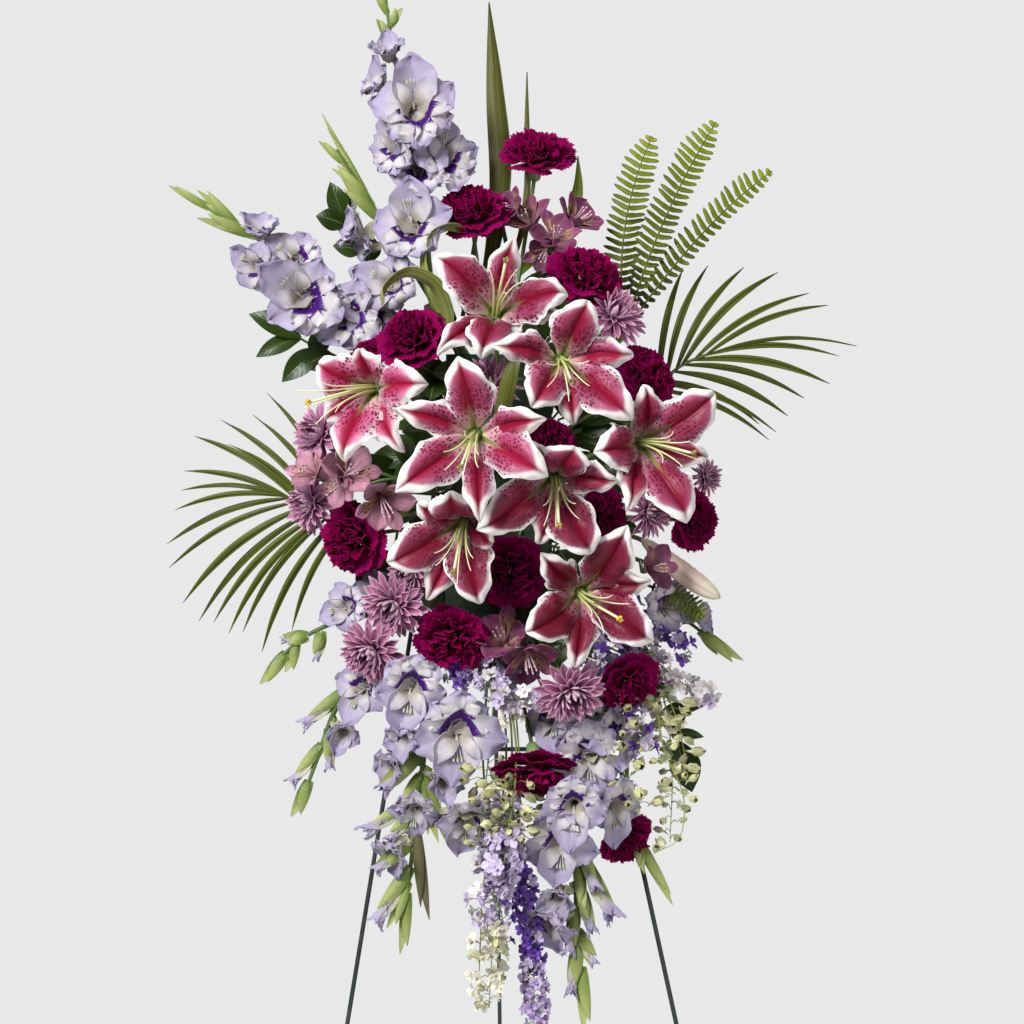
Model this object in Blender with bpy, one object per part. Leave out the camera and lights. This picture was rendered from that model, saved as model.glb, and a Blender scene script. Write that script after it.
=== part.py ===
"""A standing funeral spray: cut flowers and foliage in a foam block on a folding wire easel.

Metres, +Z up. The origin is on the floor, under the middle of the part.
Flowers are placed by where they show in the photograph and by a depth along Y.
"""

import math
import random

import bmesh
import bpy
from mathutils import Matrix, Vector

# The photograph's view: its middle column and row, the size of a pixel at the blooms, the eye
PHOTO_MIDDLE = 512
PIXEL = 0.00105
BLOOM_DEPTH = -0.22
VIEW_DISTANCE = 3.6
EYE_HEIGHT = 1.122
EYE = Vector((0.0, BLOOM_DEPTH - VIEW_DISTANCE, EYE_HEIGHT))

# Easel
WIRE = 0.005
FIT = 0.0003
APEX_HEIGHT = 1.45
APEX_DEPTH = -0.07
LEG_TOP_LEFT = -0.0353
LEG_TOP_RIGHT = -0.0138
FOOT_LEFT = -0.2667
FOOT_RIGHT = 0.2988
FOOT_FORWARD = 0.22
BACK_FOOT_X = -0.009
BACK_FOOT_BEHIND = 0.50
HINGE_DROP = 0.006
HINGE_BAR = 0.044
EYE_LOOP = 0.0050
EYE_STEPS = 10
EYE_SIDES = 5
WIRE_SIDES = 8
FLAT_ANGLE = math.radians(0.2)

# Foam block and the holder round it
FOAM = Vector((0.110, 0.080, 0.300))
HOLDER_X = -0.015
HOLDER_HEIGHT = 1.135
PLATE = 0.0025
TRAY_WALL = 0.025
BAND_HEIGHT = 0.075
BAND_WIDTH = 0.012
BAR_OFFSETS = {"high": 0.105, "mid": -0.100, "low": -0.262}
BAR_OVERHANG = 0.003
HOOK_X = 0.036
HOOK_WIDTH = 0.010
SOCKET = 0.018
SOCKET_CLEAR = 0.0006
SOCKET_RUN = 0.012
STEM_AIM = 0.42
STEM_AIM_LIMIT = 0.105
STEM_AIM_BACK = 0.012

# Flowers and foliage
LILY_LIFT = 0.036
PETAL_WIDTH = 0.050
SEPAL_WIDTH = 0.034
PETAL_RAISE = 0.005
SEPAL_DROP = 0.008
PETAL_CUPS = (0.0, 0.25, 0.18, 0.0, 0)
SEPAL_CUPS = (0.0, -0.05, -0.15, -0.05, 0)
CARNATION = 0.078
MUM = 0.068
LEAF_THICK = 0.0012
STEM = 0.0022
STALK = 0.0042
STALK_TAPER = 0.5
FLORET_DROP = 0.03
PALM_STALK = 0.0028
PALM_LEAFLET = 0.0085
PALM_BACK = 0.03
FERN_RIB = 0.0011
FERN_HALF_THICK = 0.0004

LEAN = math.atan2(FOOT_FORWARD, APEX_HEIGHT)
DOWN = Vector((0, -math.sin(LEAN), -math.cos(LEAN)))
FRONT = Vector((0, -math.cos(LEAN), math.sin(LEAN)))
FORWARD = Vector((0, -1, 0))

COLOURS = {
    "wire": ((0.020, 0.035, 0.030), 0.45, 0.6),
    "plastic": ((0.030, 0.090, 0.035), 0.50, 0.0),
    "foam": ((0.050, 0.160, 0.060), 0.95, 0.0),
    "lily": ((0.620, 0.070, 0.150), 0.45, 0.0),
    "carnation": ((0.320, 0.004, 0.110), 0.60, 0.0),
    "mum": ((0.450, 0.160, 0.330), 0.60, 0.0),
    "alstroemeria": ((0.400, 0.110, 0.220), 0.50, 0.0),
    "gladiolus": ((0.520, 0.480, 0.760), 0.50, 0.0),
    "larkspur": ((0.190, 0.090, 0.520), 0.55, 0.0),
    "larkspur_pale": ((0.560, 0.540, 0.700), 0.55, 0.0),
    "leaf": ((0.045, 0.120, 0.020), 0.45, 0.0),
    "fern": ((0.080, 0.200, 0.020), 0.50, 0.0),
}

sockets = []


def clear_scene():
    for thing in list(bpy.data.objects):
        bpy.data.objects.remove(thing, do_unlink=True)


def finish(name):
    material = bpy.data.materials.get(name)
    if material is None:
        colour, roughness, metallic = COLOURS[name]
        material = bpy.data.materials.new(name)
        material.use_nodes = True
        shader = material.node_tree.nodes["Principled BSDF"]
        shader.inputs["Base Color"].default_value = (*colour, 1)
        shader.inputs["Roughness"].default_value = roughness
        shader.inputs["Metallic"].default_value = metallic
    return material


# Places


def spot(photo, depth):
    """The place that shows at a photograph pixel, at a depth along Y."""
    reach = PIXEL * (1 + (depth - BLOOM_DEPTH) / VIEW_DISTANCE)
    across = (photo[0] - PHOTO_MIDDLE) * reach
    return Vector((across, depth, EYE_HEIGHT + (PHOTO_MIDDLE - photo[1]) * reach))


def spot_on_plane(photo, point, normal):
    """The place that shows at a photograph pixel, on a plane."""
    ray = spot(photo, BLOOM_DEPTH) - EYE
    return EYE + ray * ((point - EYE).dot(normal) / ray.dot(normal))


def easel_point(x, height, off=0.0):
    """A place in the plane of the front legs, or off it towards the viewer."""
    drop = (APEX_HEIGHT - height) / math.cos(LEAN)
    return Vector((x, APEX_DEPTH, APEX_HEIGHT)) + DOWN * drop + FRONT * off


def leg_x(top, foot, height):
    return top + (foot - top) * (APEX_HEIGHT - height) / APEX_HEIGHT


def holder_frame():
    """The holder's own frame: foam centre, X across, -Y to the front, Z up the easel."""
    off = WIRE + FIT + WIRE / 2 + FIT + PLATE + FIT + FOAM.y / 2
    centre = easel_point(HOLDER_X, HOLDER_HEIGHT - off * math.sin(LEAN), off)
    return Matrix.Translation(centre) @ Matrix.Rotation(-LEAN, 4, "X")


HOLDER = holder_frame()
UNHOLD = HOLDER.inverted()


def bezier(a, b, c, d, t):
    s = 1 - t
    return a * s**3 + b * (3 * s * s * t) + c * (3 * s * t * t) + d * t**3


def across(direction):
    """Two unit vectors square to a direction."""
    side = direction.cross(Vector((0, 0, 1)))
    if side.length < 0.2:
        side = direction.cross(Vector((1, 0, 0)))
    side.normalize()
    return side, side.cross(direction).normalized()


def outward(place, forward=0.8):
    """The way a bloom looks: away from the foam, and partly to the viewer."""
    away = (place - HOLDER.translation).normalized()
    return (away + FORWARD * forward).normalized()


# Shells


def loft(rings):
    """A closed shell through rings of points; a ring of one point closes an end."""
    points = []
    faces = []
    starts = []
    for ring in rings:
        starts.append(len(points))
        points.extend(ring)
    for i in range(len(rings) - 1):
        a, b = starts[i], starts[i + 1]
        count = max(len(rings[i]), len(rings[i + 1]))
        for k in range(count):
            n = (k + 1) % count
            if len(rings[i]) == 1:
                faces.append((a, b + n, b + k))
            elif len(rings[i + 1]) == 1:
                faces.append((a + k, a + n, b))
            elif k % 2 == 0:
                faces.append((a + k, a + n, b + n))
                faces.append((a + k, b + n, b + k))
            else:
                faces.append((a + k, a + n, b + k))
                faces.append((a + n, b + n, b + k))
    if len(rings[0]) > 1:
        faces.append(tuple(reversed(range(len(rings[0])))))
    if len(rings[-1]) > 1:
        faces.append(tuple(range(starts[-1], len(points))))
    return points, faces


def tube(points, radii, sides=3):
    """A round bar along points, with flat ends; radii is one value or one for each point."""
    if not hasattr(radii, "__len__"):
        radii = [radii] * len(points)
    way = (points[1] - points[0]).normalized()
    side, up = across(way)
    rings = []
    for i, point in enumerate(points):
        ahead = (points[min(i + 1, len(points) - 1)] - points[max(i - 1, 0)]).normalized()
        turn = way.rotation_difference(ahead)
        side, up, way = turn @ side, turn @ up, ahead
        ring = []
        for k in range(sides):
            angle = math.tau * k / sides
            ring.append(point + (side * math.cos(angle) + up * math.sin(angle)) * radii[i])
        rings.append(ring)
    return loft(rings)


def box(low, high, place=Matrix.Identity(4)):
    rings = []
    for z in (low[2], high[2]):
        corners = ((low[0], low[1]), (high[0], low[1]), (high[0], high[1]), (low[0], high[1]))
        rings.append([place @ Vector((x, y, z)) for x, y in corners])
    return loft(rings)


def blade(path, widths, side, thick=LEAF_THICK, cups=None):
    """A leaf or petal: sections of four points along a path, ending in points where width is 0.

    side is the way across it; cups raise its edges, as a share of its half width.
    """
    rings = []
    for i, point in enumerate(path):
        ahead = (path[min(i + 1, len(path) - 1)] - path[max(i - 1, 0)]).normalized()
        width = (side - ahead * side.dot(ahead)).normalized()
        face = ahead.cross(width)
        half = widths[i] / 2
        if half == 0:
            rings.append([point])
            continue
        rise = face * (half * (cups[i] if cups else 0.0))
        slim = face * (min(thick, half) / 2)
        rings.append([point - width * half + rise, point + slim, point + width * half + rise, point - slim])
    return loft(rings)


def spindle(start, end, width, sides=4, widest=0.45):
    """A bud or bract: pointed at both ends."""
    way = (end - start).normalized()
    side, up = across(way)
    middle = start.lerp(end, widest)
    ring = []
    for k in range(sides):
        angle = math.tau * k / sides
        ring.append(middle + (side * math.cos(angle) + up * math.sin(angle)) * width / 2)
    return loft([[start], ring, [end]])


def needle(start, end, radius):
    side, up = across((end - start).normalized())
    ring = []
    for k in range(3):
        angle = math.tau * k / 3
        ring.append(start + (side * math.cos(angle) + up * math.sin(angle)) * radius)
    return loft([ring, [end]])


# Bodies


def body(name, shells, colour):
    """One object from overlapping closed shells, joined by one union."""
    scraps = bpy.data.collections.new(name + "_scraps")
    first = None
    for index, (points, faces) in enumerate(shells):
        mesh = bpy.data.meshes.new(name if index == 0 else name + "_scrap")
        build = bmesh.new()
        corners = [build.verts.new(point) for point in points]
        for face in faces:
            build.faces.new([corners[i] for i in face])
        bmesh.ops.triangulate(build, faces=[f for f in build.faces if len(f.verts) > 3])
        bmesh.ops.recalc_face_normals(build, faces=build.faces)
        build.to_mesh(mesh)
        build.free()
        if index == 0:
            first = bpy.data.objects.new(name, mesh)
            bpy.context.scene.collection.objects.link(first)
        else:
            scraps.objects.link(bpy.data.objects.new(mesh.name, mesh))
    if len(shells) > 1:
        bpy.context.scene.collection.children.link(scraps)
        union = first.modifiers.new("join", "BOOLEAN")
        union.operation = "UNION"
        union.operand_type = "COLLECTION"
        union.collection = scraps
        union.solver = "MANIFOLD"
        apply(first)
    for scrap in list(scraps.objects):
        bpy.data.objects.remove(scrap, do_unlink=True)
    bpy.data.collections.remove(scraps)
    first.data.materials.clear()
    first.data.materials.append(finish(colour))
    return first


def apply(piece):
    """Applies the modifiers, and joins again the flat faces that a union has split."""
    graph = bpy.context.evaluated_depsgraph_get()
    done = bpy.data.meshes.new_from_object(piece.evaluated_get(graph))
    piece.modifiers.clear()
    build = bmesh.new()
    build.from_mesh(done)
    bmesh.ops.dissolve_limit(
        build, angle_limit=FLAT_ANGLE, verts=build.verts, edges=build.edges, use_dissolve_boundaries=False
    )
    bmesh.ops.triangulate(build, faces=build.faces)
    build.to_mesh(done)
    build.free()
    piece.data = done


# Stems


def foam_entry(place):
    """Where a stem that comes from a place meets the foam's face, and the way out."""
    half = FOAM / 2
    head = UNHOLD @ place
    aim = max(-STEM_AIM_LIMIT, min(STEM_AIM_LIMIT, STEM_AIM * head.z))
    core = Vector((0, STEM_AIM_BACK, aim))
    way = head - core
    shares = [(half[i] - core[i] * math.copysign(1, way[i])) / max(abs(way[i]), 1e-6) for i in range(3)]
    face = shares.index(min(shares))
    entry = core + way * shares[face]
    if face != 1:
        entry.y = min(entry.y, half.y - TRAY_WALL - 0.006)
    if face != 2:
        for band in (BAND_HEIGHT, -BAND_HEIGHT):
            clear = BAND_WIDTH / 2 + STEM + 0.003
            if abs(entry.z - band) < clear:
                entry.z = band + math.copysign(clear, entry.z - band)
    out = (head - entry).normalized()
    turn = HOLDER.to_3x3()
    return HOLDER @ entry, turn @ out


def stem(base, facing, radius=STEM, sides=3, steps=3):
    """A cut stem from the back of a bloom into its own hole in the foam."""
    entry, out = foam_entry(base - facing * 0.010)
    inner = entry - out * SOCKET
    leave = entry + out * min(SOCKET_RUN, 0.4 * (base - entry).length)
    reach = (base - leave).length
    bend = min(0.35 * reach, 0.030)
    path = [inner, leave]
    for i in range(1, steps):
        path.append(bezier(leave, leave + out * bend, base - facing * bend, base, i / steps))
    path.append(base)
    drill(inner, leave, radius, sides)
    return tube(path, radius, sides)


def rooted(points, radius, sides):
    """A stalk's line: a straight run out of its hole in the foam, then the points."""
    entry, out = foam_entry(points[0])
    inner = entry - out * SOCKET
    leave = entry + out * SOCKET_RUN
    drill(inner, leave, radius, sides)
    return [inner, leave] + points


def drill(inner, leave, radius, sides):
    """Adds the hole that a stem stands in, open past the foam's face."""
    way = (leave - inner).normalized()
    ends = [inner - way * SOCKET_CLEAR, leave + way * SOCKET_RUN]
    sockets.append(tube(ends, radius + SOCKET_CLEAR, sides))


def fork(places):
    """A shared stalk for several heads: its shell, its end and its way out of the foam."""
    middle = sum(places, Vector()) / len(places)
    entry, out = foam_entry(middle)
    end = entry + out * min(0.05, (middle - entry).length * 0.35)
    inner = entry - out * SOCKET
    drill(inner, entry + out * SOCKET_RUN, STEM * 1.2, 3)
    return tube([inner, end], STEM * 1.2), end, out


def twig(end, out, base, facing, radius=STEM * 0.8, steps=3):
    reach = (base - end).length
    path = [end - out * 0.004]
    for i in range(1, steps):
        t = i / steps
        path.append(bezier(end, end + out * reach * 0.35, base - facing * reach * 0.35, base, t))
    path.append(base + facing * 0.004)
    return tube(path, radius)


# Lilies


def lily_petal(throat, facing, tip_photo, wide, curl):
    tip = spot_on_plane(tip_photo, throat + facing * (LILY_LIFT - curl), facing)
    reach = tip - throat
    flat = reach - facing * reach.dot(facing)
    long = flat.length
    ray = flat / long
    raise_by = PETAL_RAISE if wide else -SEPAL_DROP
    start = throat - facing * 0.016 + ray * 0.002
    low = throat + facing * (0.010 + raise_by) + ray * (0.20 * long)
    high = throat + facing * (LILY_LIFT + 0.012 + raise_by) + ray * (0.60 * long)
    stops = (0, 0.32, 0.58, 0.83, 1)
    shape = (0, 0.56, 1.0, 0.80, 0)
    path = [bezier(start, low, high, tip, t) for t in stops]
    width = PETAL_WIDTH if wide else SEPAL_WIDTH
    cups = PETAL_CUPS if wide else SEPAL_CUPS
    return blade(path, [width * s for s in shape], facing.cross(ray), 0.0014, cups)


def lily(name, photo, depth, facing, pistil, tips):
    """An open lily: three wide petals over three sepals, six filaments and a pistil."""
    throat = spot(photo, depth)
    facing = Vector(facing).normalized()
    core = [throat - facing * 0.036, throat - facing * 0.020, throat + facing * 0.001]
    shells = [tube(core, [0.004, 0.0075, 0.007], 5)]
    for tip_photo, wide, curl in tips:
        shells.append(lily_petal(throat, facing, tip_photo, wide, curl))
    stigma = spot_on_plane(pistil, throat + facing * 0.062, facing)
    lean = stigma - throat
    side, up = across(facing)
    for k in range(6):
        angle = math.tau * (k + 0.5) / 6
        ring = side * math.cos(angle) + up * math.sin(angle)
        end = throat + lean * 0.86 + ring * 0.017
        shells.append(needle(throat - facing * 0.004 + ring * 0.003, end, 0.0011))
    knob = stigma + lean.normalized() * 0.005
    shells.append(tube([throat - facing * 0.004, stigma, knob], [0.0013, 0.0012, 0.0034], 3))
    shells.append(stem(throat - facing * 0.034, facing, 0.0028))
    body(name, shells, "lily")


LILIES = {
    "lily_top": dict(
        photo=(496, 312), depth=-0.270, facing=(0.0, -1.0, 0.42), pistil=(506, 262),
        tips=[
            ((430, 254), True, 0.0), ((515, 234), False, 0.0), ((572, 293), True, 0.0),
            ((564, 318), False, 0.012), ((480, 362), True, 0.010), ((434, 355), False, 0.016),
        ],
    ),
    "lily_upper_right": dict(
        photo=(561, 360), depth=-0.318, facing=(0.10, -1.0, 0.02), pistil=(571, 380),
        tips=[
            ((590, 296), True, 0.0), ((639, 355), False, 0.018), ((636, 422), True, 0.0),
            ((574, 430), False, 0.024), ((529, 411), True, 0.004), ((489, 345), False, 0.010),
        ],
    ),
    "lily_left": dict(
        photo=(372, 388), depth=-0.285, facing=(-0.35, -1.0, 0.05), pistil=(310, 402),
        tips=[
            ((314, 362), True, 0.0), ((360, 345), False, 0.006), ((431, 384), True, 0.006),
            ((404, 455), False, 0.012), ((342, 466), True, 0.006), ((323, 424), False, 0.018),
        ],
    ),
    "lily_middle": dict(
        photo=(475, 434), depth=-0.360, facing=(-0.04, -1.0, 0.02), pistil=(461, 466),
        tips=[
            ((457, 352), True, 0.0), ((549, 418), False, 0.006), ((551, 478), True, 0.0),
            ((480, 526), False, 0.010), ((392, 494), True, 0.0), ((392, 407), False, 0.012),
        ],
    ),
    "lily_centre_low": dict(
        photo=(555, 478), depth=-0.322, facing=(0.06, -1.0, -0.22), pistil=(559, 524),
        tips=[
            ((578, 443), True, 0.0), ((622, 480), False, 0.016), ((594, 558), True, 0.0),
            ((537, 549), False, 0.018), ((474, 533), True, 0.0), ((516, 436), False, 0.018),
        ],
    ),
    "lily_right": dict(
        photo=(642, 442), depth=-0.300, facing=(0.28, -1.0, 0.04), pistil=(692, 453),
        tips=[
            ((719, 390), True, 0.0), ((713, 459), False, 0.012), ((690, 526), True, 0.0),
            ((627, 514), False, 0.010), ((592, 453), True, -0.004), ((644, 380), False, 0.014),
        ],
    ),
    "lily_low_left": dict(
        photo=(464, 522), depth=-0.290, facing=(-0.10, -1.0, -0.28), pistil=(454, 570),
        tips=[
            ((450, 488), True, -0.004), ((413, 501), False, 0.014), ((383, 565), True, 0.0),
            ((425, 605), False, 0.014), ((481, 609), True, 0.0), ((497, 545), False, 0.018),
        ],
    ),
    "lily_low_right": dict(
        photo=(581, 594), depth=-0.288, facing=(0.02, -1.0, -0.16), pistil=(618, 618),
        tips=[
            ((630, 523), True, 0.004), ((655, 580), False, 0.014), ((657, 644), True, 0.0),
            ((574, 672), False, 0.010), ((522, 635), True, 0.0), ((538, 550), False, 0.016),
        ],
    ),
}


def lily_bud():
    start = spot((648, 544), -0.205)
    end = spot((720, 598), -0.235)
    way = (end - start).normalized()
    long = (end - start).length
    stops = ((-0.05, 0.0045), (0.15, 0.010), (0.5, 0.0115), (0.82, 0.0095), (1.0, 0.003))
    points = [start + way * (long * s[0]) for s in stops]
    shells = [tube(points, [s[1] for s in stops], 6)]
    shells.append(stem(start, way, 0.0026))
    body("lily_bud", shells, "lily")


# Carnations


def carnation(place, facing, size=CARNATION, name="carnation"):
    """A ruffled head over a slim calyx; place is the middle of the head."""
    draw = random.Random(name)
    count = 12
    scale = size / 2
    base = place - facing * (scale * 0.80)
    layers = (
        (0.22, 0.46, 0.00, 0.00),
        (1.00, 0.72, 0.10, 0.10),
        (0.60, 0.86, 0.06, 0.03),
        (0.80, 1.12, 0.12, 0.09),
        (0.38, 1.04, 0.06, 0.03),
        (0.46, 1.30, 0.12, 0.07),
    )
    loops = [[base]]
    side, up = across(facing)
    for number, (radius, height, jag, wave) in enumerate(layers):
        loop = []
        for k in range(count):
            angle = math.tau * (k + 0.5 * (number % 2)) / count
            tooth = 1 if (k + number // 2) % 2 else -1
            r = scale * radius * (1 + jag * (0.55 * tooth + draw.uniform(-0.6, 0.4)))
            h = scale * (height + wave * (tooth * 0.8 + draw.uniform(-0.6, 0.6)))
            loop.append(base + (side * math.cos(angle) + up * math.sin(angle)) * r + facing * h)
        loops.append(loop)
    loops.append([base + facing * (scale * 1.18)])
    return loft(loops), base


CARNATIONS = {
    "carnation_top": dict(photo=(538, 147), depth=-0.150, facing=(0.05, -0.55, 0.85), size=0.080),
    "carnation_top_left": dict(photo=(470, 201), depth=-0.165, size=0.078),
    "carnation_top_right": dict(photo=(589, 266), depth=-0.226, size=0.080),
    "carnation_right": dict(photo=(653, 371), depth=-0.215, size=0.072),
    "carnation_far_left": dict(photo=(344, 541), depth=-0.222, size=0.080),
    "carnation_far_right": dict(photo=(702, 522), depth=-0.215, size=0.064),
    "carnation_middle": dict(photo=(510, 577), depth=-0.268, size=0.076),
    "carnation_low": dict(photo=(450, 646), depth=-0.262, size=0.080),
    "carnation_low_right": dict(photo=(634, 690), depth=-0.245, size=0.066),
    "carnation_hanging": dict(photo=(531, 786), depth=-0.205, facing=(0.0, -0.75, 0.45), size=0.074),
    "carnation_hanging_right": dict(photo=(630, 850), depth=-0.205, facing=(0.45, -0.7, -0.3), size=0.056),
    "carnation_behind": dict(photo=(550, 440), depth=-0.240, size=0.064),
    "carnation_behind_low": dict(photo=(607, 516), depth=-0.250, size=0.058),
}


def carnations():
    for name, spec in CARNATIONS.items():
        place = spot(spec["photo"], spec["depth"])
        facing = Vector(spec["facing"]).normalized() if "facing" in spec else outward(place)
        head, base = carnation(place, facing, spec["size"], name)
        body(name, [head, stem(base + facing * 0.004, facing)], "carnation")
    pair = (("left", (406, 330), -0.235, 0.074), ("left_small", (364, 352), -0.200, 0.046))
    places = [spot(photo, depth) for _, photo, depth, _ in pair]
    stalk, end, out = fork(places)
    shells = [stalk]
    for place, (label, _, _, size) in zip(places, pair):
        facing = outward(place)
        head, base = carnation(place, facing, size, label)
        shells.extend([head, twig(end, out, base, facing)])
    body("carnation_left_pair", shells, "carnation")


# Cushion mums


def mum(place, facing, size=MUM, name="mum"):
    """A dense head of pointed rays in three layers; place is the middle of the head."""
    draw = random.Random(name)
    count = 14
    scale = size / 2
    base = place - facing * (scale * 0.45)
    layers = (
        (1.00, 0.56, 0.34, 0.28),
        (0.48, 0.44, 0.46, 0.46),
        (0.78, 0.44, 0.70, 0.56),
        (0.30, 0.27, 0.66, 0.66),
        (0.42, 0.26, 0.92, 0.80),
    )
    side, up = across(facing)
    loops = [[base - facing * (scale * 0.10)]]
    for number, (tip, notch, high, low) in enumerate(layers):
        loop = []
        for k in range(count):
            angle = math.tau * (k + (number // 2)) / count
            ray = k % 2 == 0
            r = scale * (tip if ray else notch) * (1 + draw.uniform(-0.07, 0.07))
            h = scale * ((high if ray else low) + draw.uniform(-0.05, 0.05))
            loop.append(base + (side * math.cos(angle) + up * math.sin(angle)) * r + facing * h)
        loops.append(loop)
    loops.append([base + facing * (scale * 0.72)])
    return loft(loops), base


MUMS = {
    "mum_upper_right": [((616, 312), -0.225, 0.064)],
    "mum_middle": [((490, 380), -0.262, 0.060)],
    "mum_left": [((317, 434), -0.195, 0.062), ((307, 503), -0.185, 0.058)],
    "mum_low_left": [((392, 608), -0.245, 0.066), ((370, 654), -0.240, 0.066), ((408, 573), -0.225, 0.050)],
    "mum_low": [((572, 696), -0.278, 0.068)],
    "mum_right": [((652, 512), -0.232, 0.054), ((708, 476), -0.190, 0.040)],
}


def mums():
    for name, heads in MUMS.items():
        places = [spot(photo, depth) for photo, depth, _ in heads]
        if len(heads) == 1:
            facing = outward(places[0])
            head, base = mum(places[0], facing, heads[0][2], name)
            body(name, [head, stem(base, facing)], "mum")
            continue
        stalk, end, out = fork(places)
        shells = [stalk]
        for number, (place, spec) in enumerate(zip(places, heads)):
            facing = outward(place)
            head, base = mum(place, facing, spec[2], name + str(number))
            shells.extend([head, twig(end, out, base, facing)])
        body(name, shells, "mum")


# Trumpet flowers: gladioli and alstroemeria


def trumpet(root, rim, facing, size, notch=0.78, ruffle=0.10, well=0.45):
    """A six-petalled trumpet: a funnel from its root to a waved rim that looks along facing."""
    scale = size / 2
    side, up = across(facing)
    ring = []
    for k in range(12):
        angle = math.tau * k / 12
        wide = 1.0 if k % 2 == 0 else notch
        lift = ruffle * scale * (-1 if k % 4 == 2 else 1)
        push = (side * math.cos(angle) + up * math.sin(angle)) * (scale * wide)
        ring.append(rim + push + facing * lift)
    return loft([[root], ring, [rim.lerp(root, well)]])


def along(points, share):
    """A place on a polyline, by share of its length, and the way it runs there."""
    lengths = [(b - a).length for a, b in zip(points, points[1:])]
    left = share * sum(lengths)
    for a, b, length in zip(points, points[1:], lengths):
        if left <= length or b is points[-1]:
            return a.lerp(b, left / length), (b - a).normalized()
        left -= length


def nearest_share(points, place):
    """The share of a polyline's length where it passes nearest to a place."""
    shares = [i / 60 for i in range(61)]
    return min(shares, key=lambda share: (along(points, share)[0] - place).length)


def spike(route, florets, buds, forked=False):
    """A flowering spike: a stalk through the route, with trumpets and buds set into it."""
    points = [spot(photo, depth) for photo, depth in route]
    line = points if forked else rooted(points, STALK, 4)
    radii = [STALK * (1 - STALK_TAPER * i / (len(line) - 1)) for i in range(len(line))]
    radii[:2] = [STALK, STALK]
    shells = [tube(line, radii, 4)]
    for photo, depth, size, look in florets:
        rim = spot(photo, depth)
        share = max(0.05, nearest_share(line, rim) - FLORET_DROP)
        shells.append(trumpet(along(line, share)[0], rim, Vector(look).normalized(), size))
    for start, end, depth, width in buds:
        share = nearest_share(line, spot(start, depth))
        shells.append(spindle(along(line, share)[0], spot(end, depth), width))
    return shells


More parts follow.
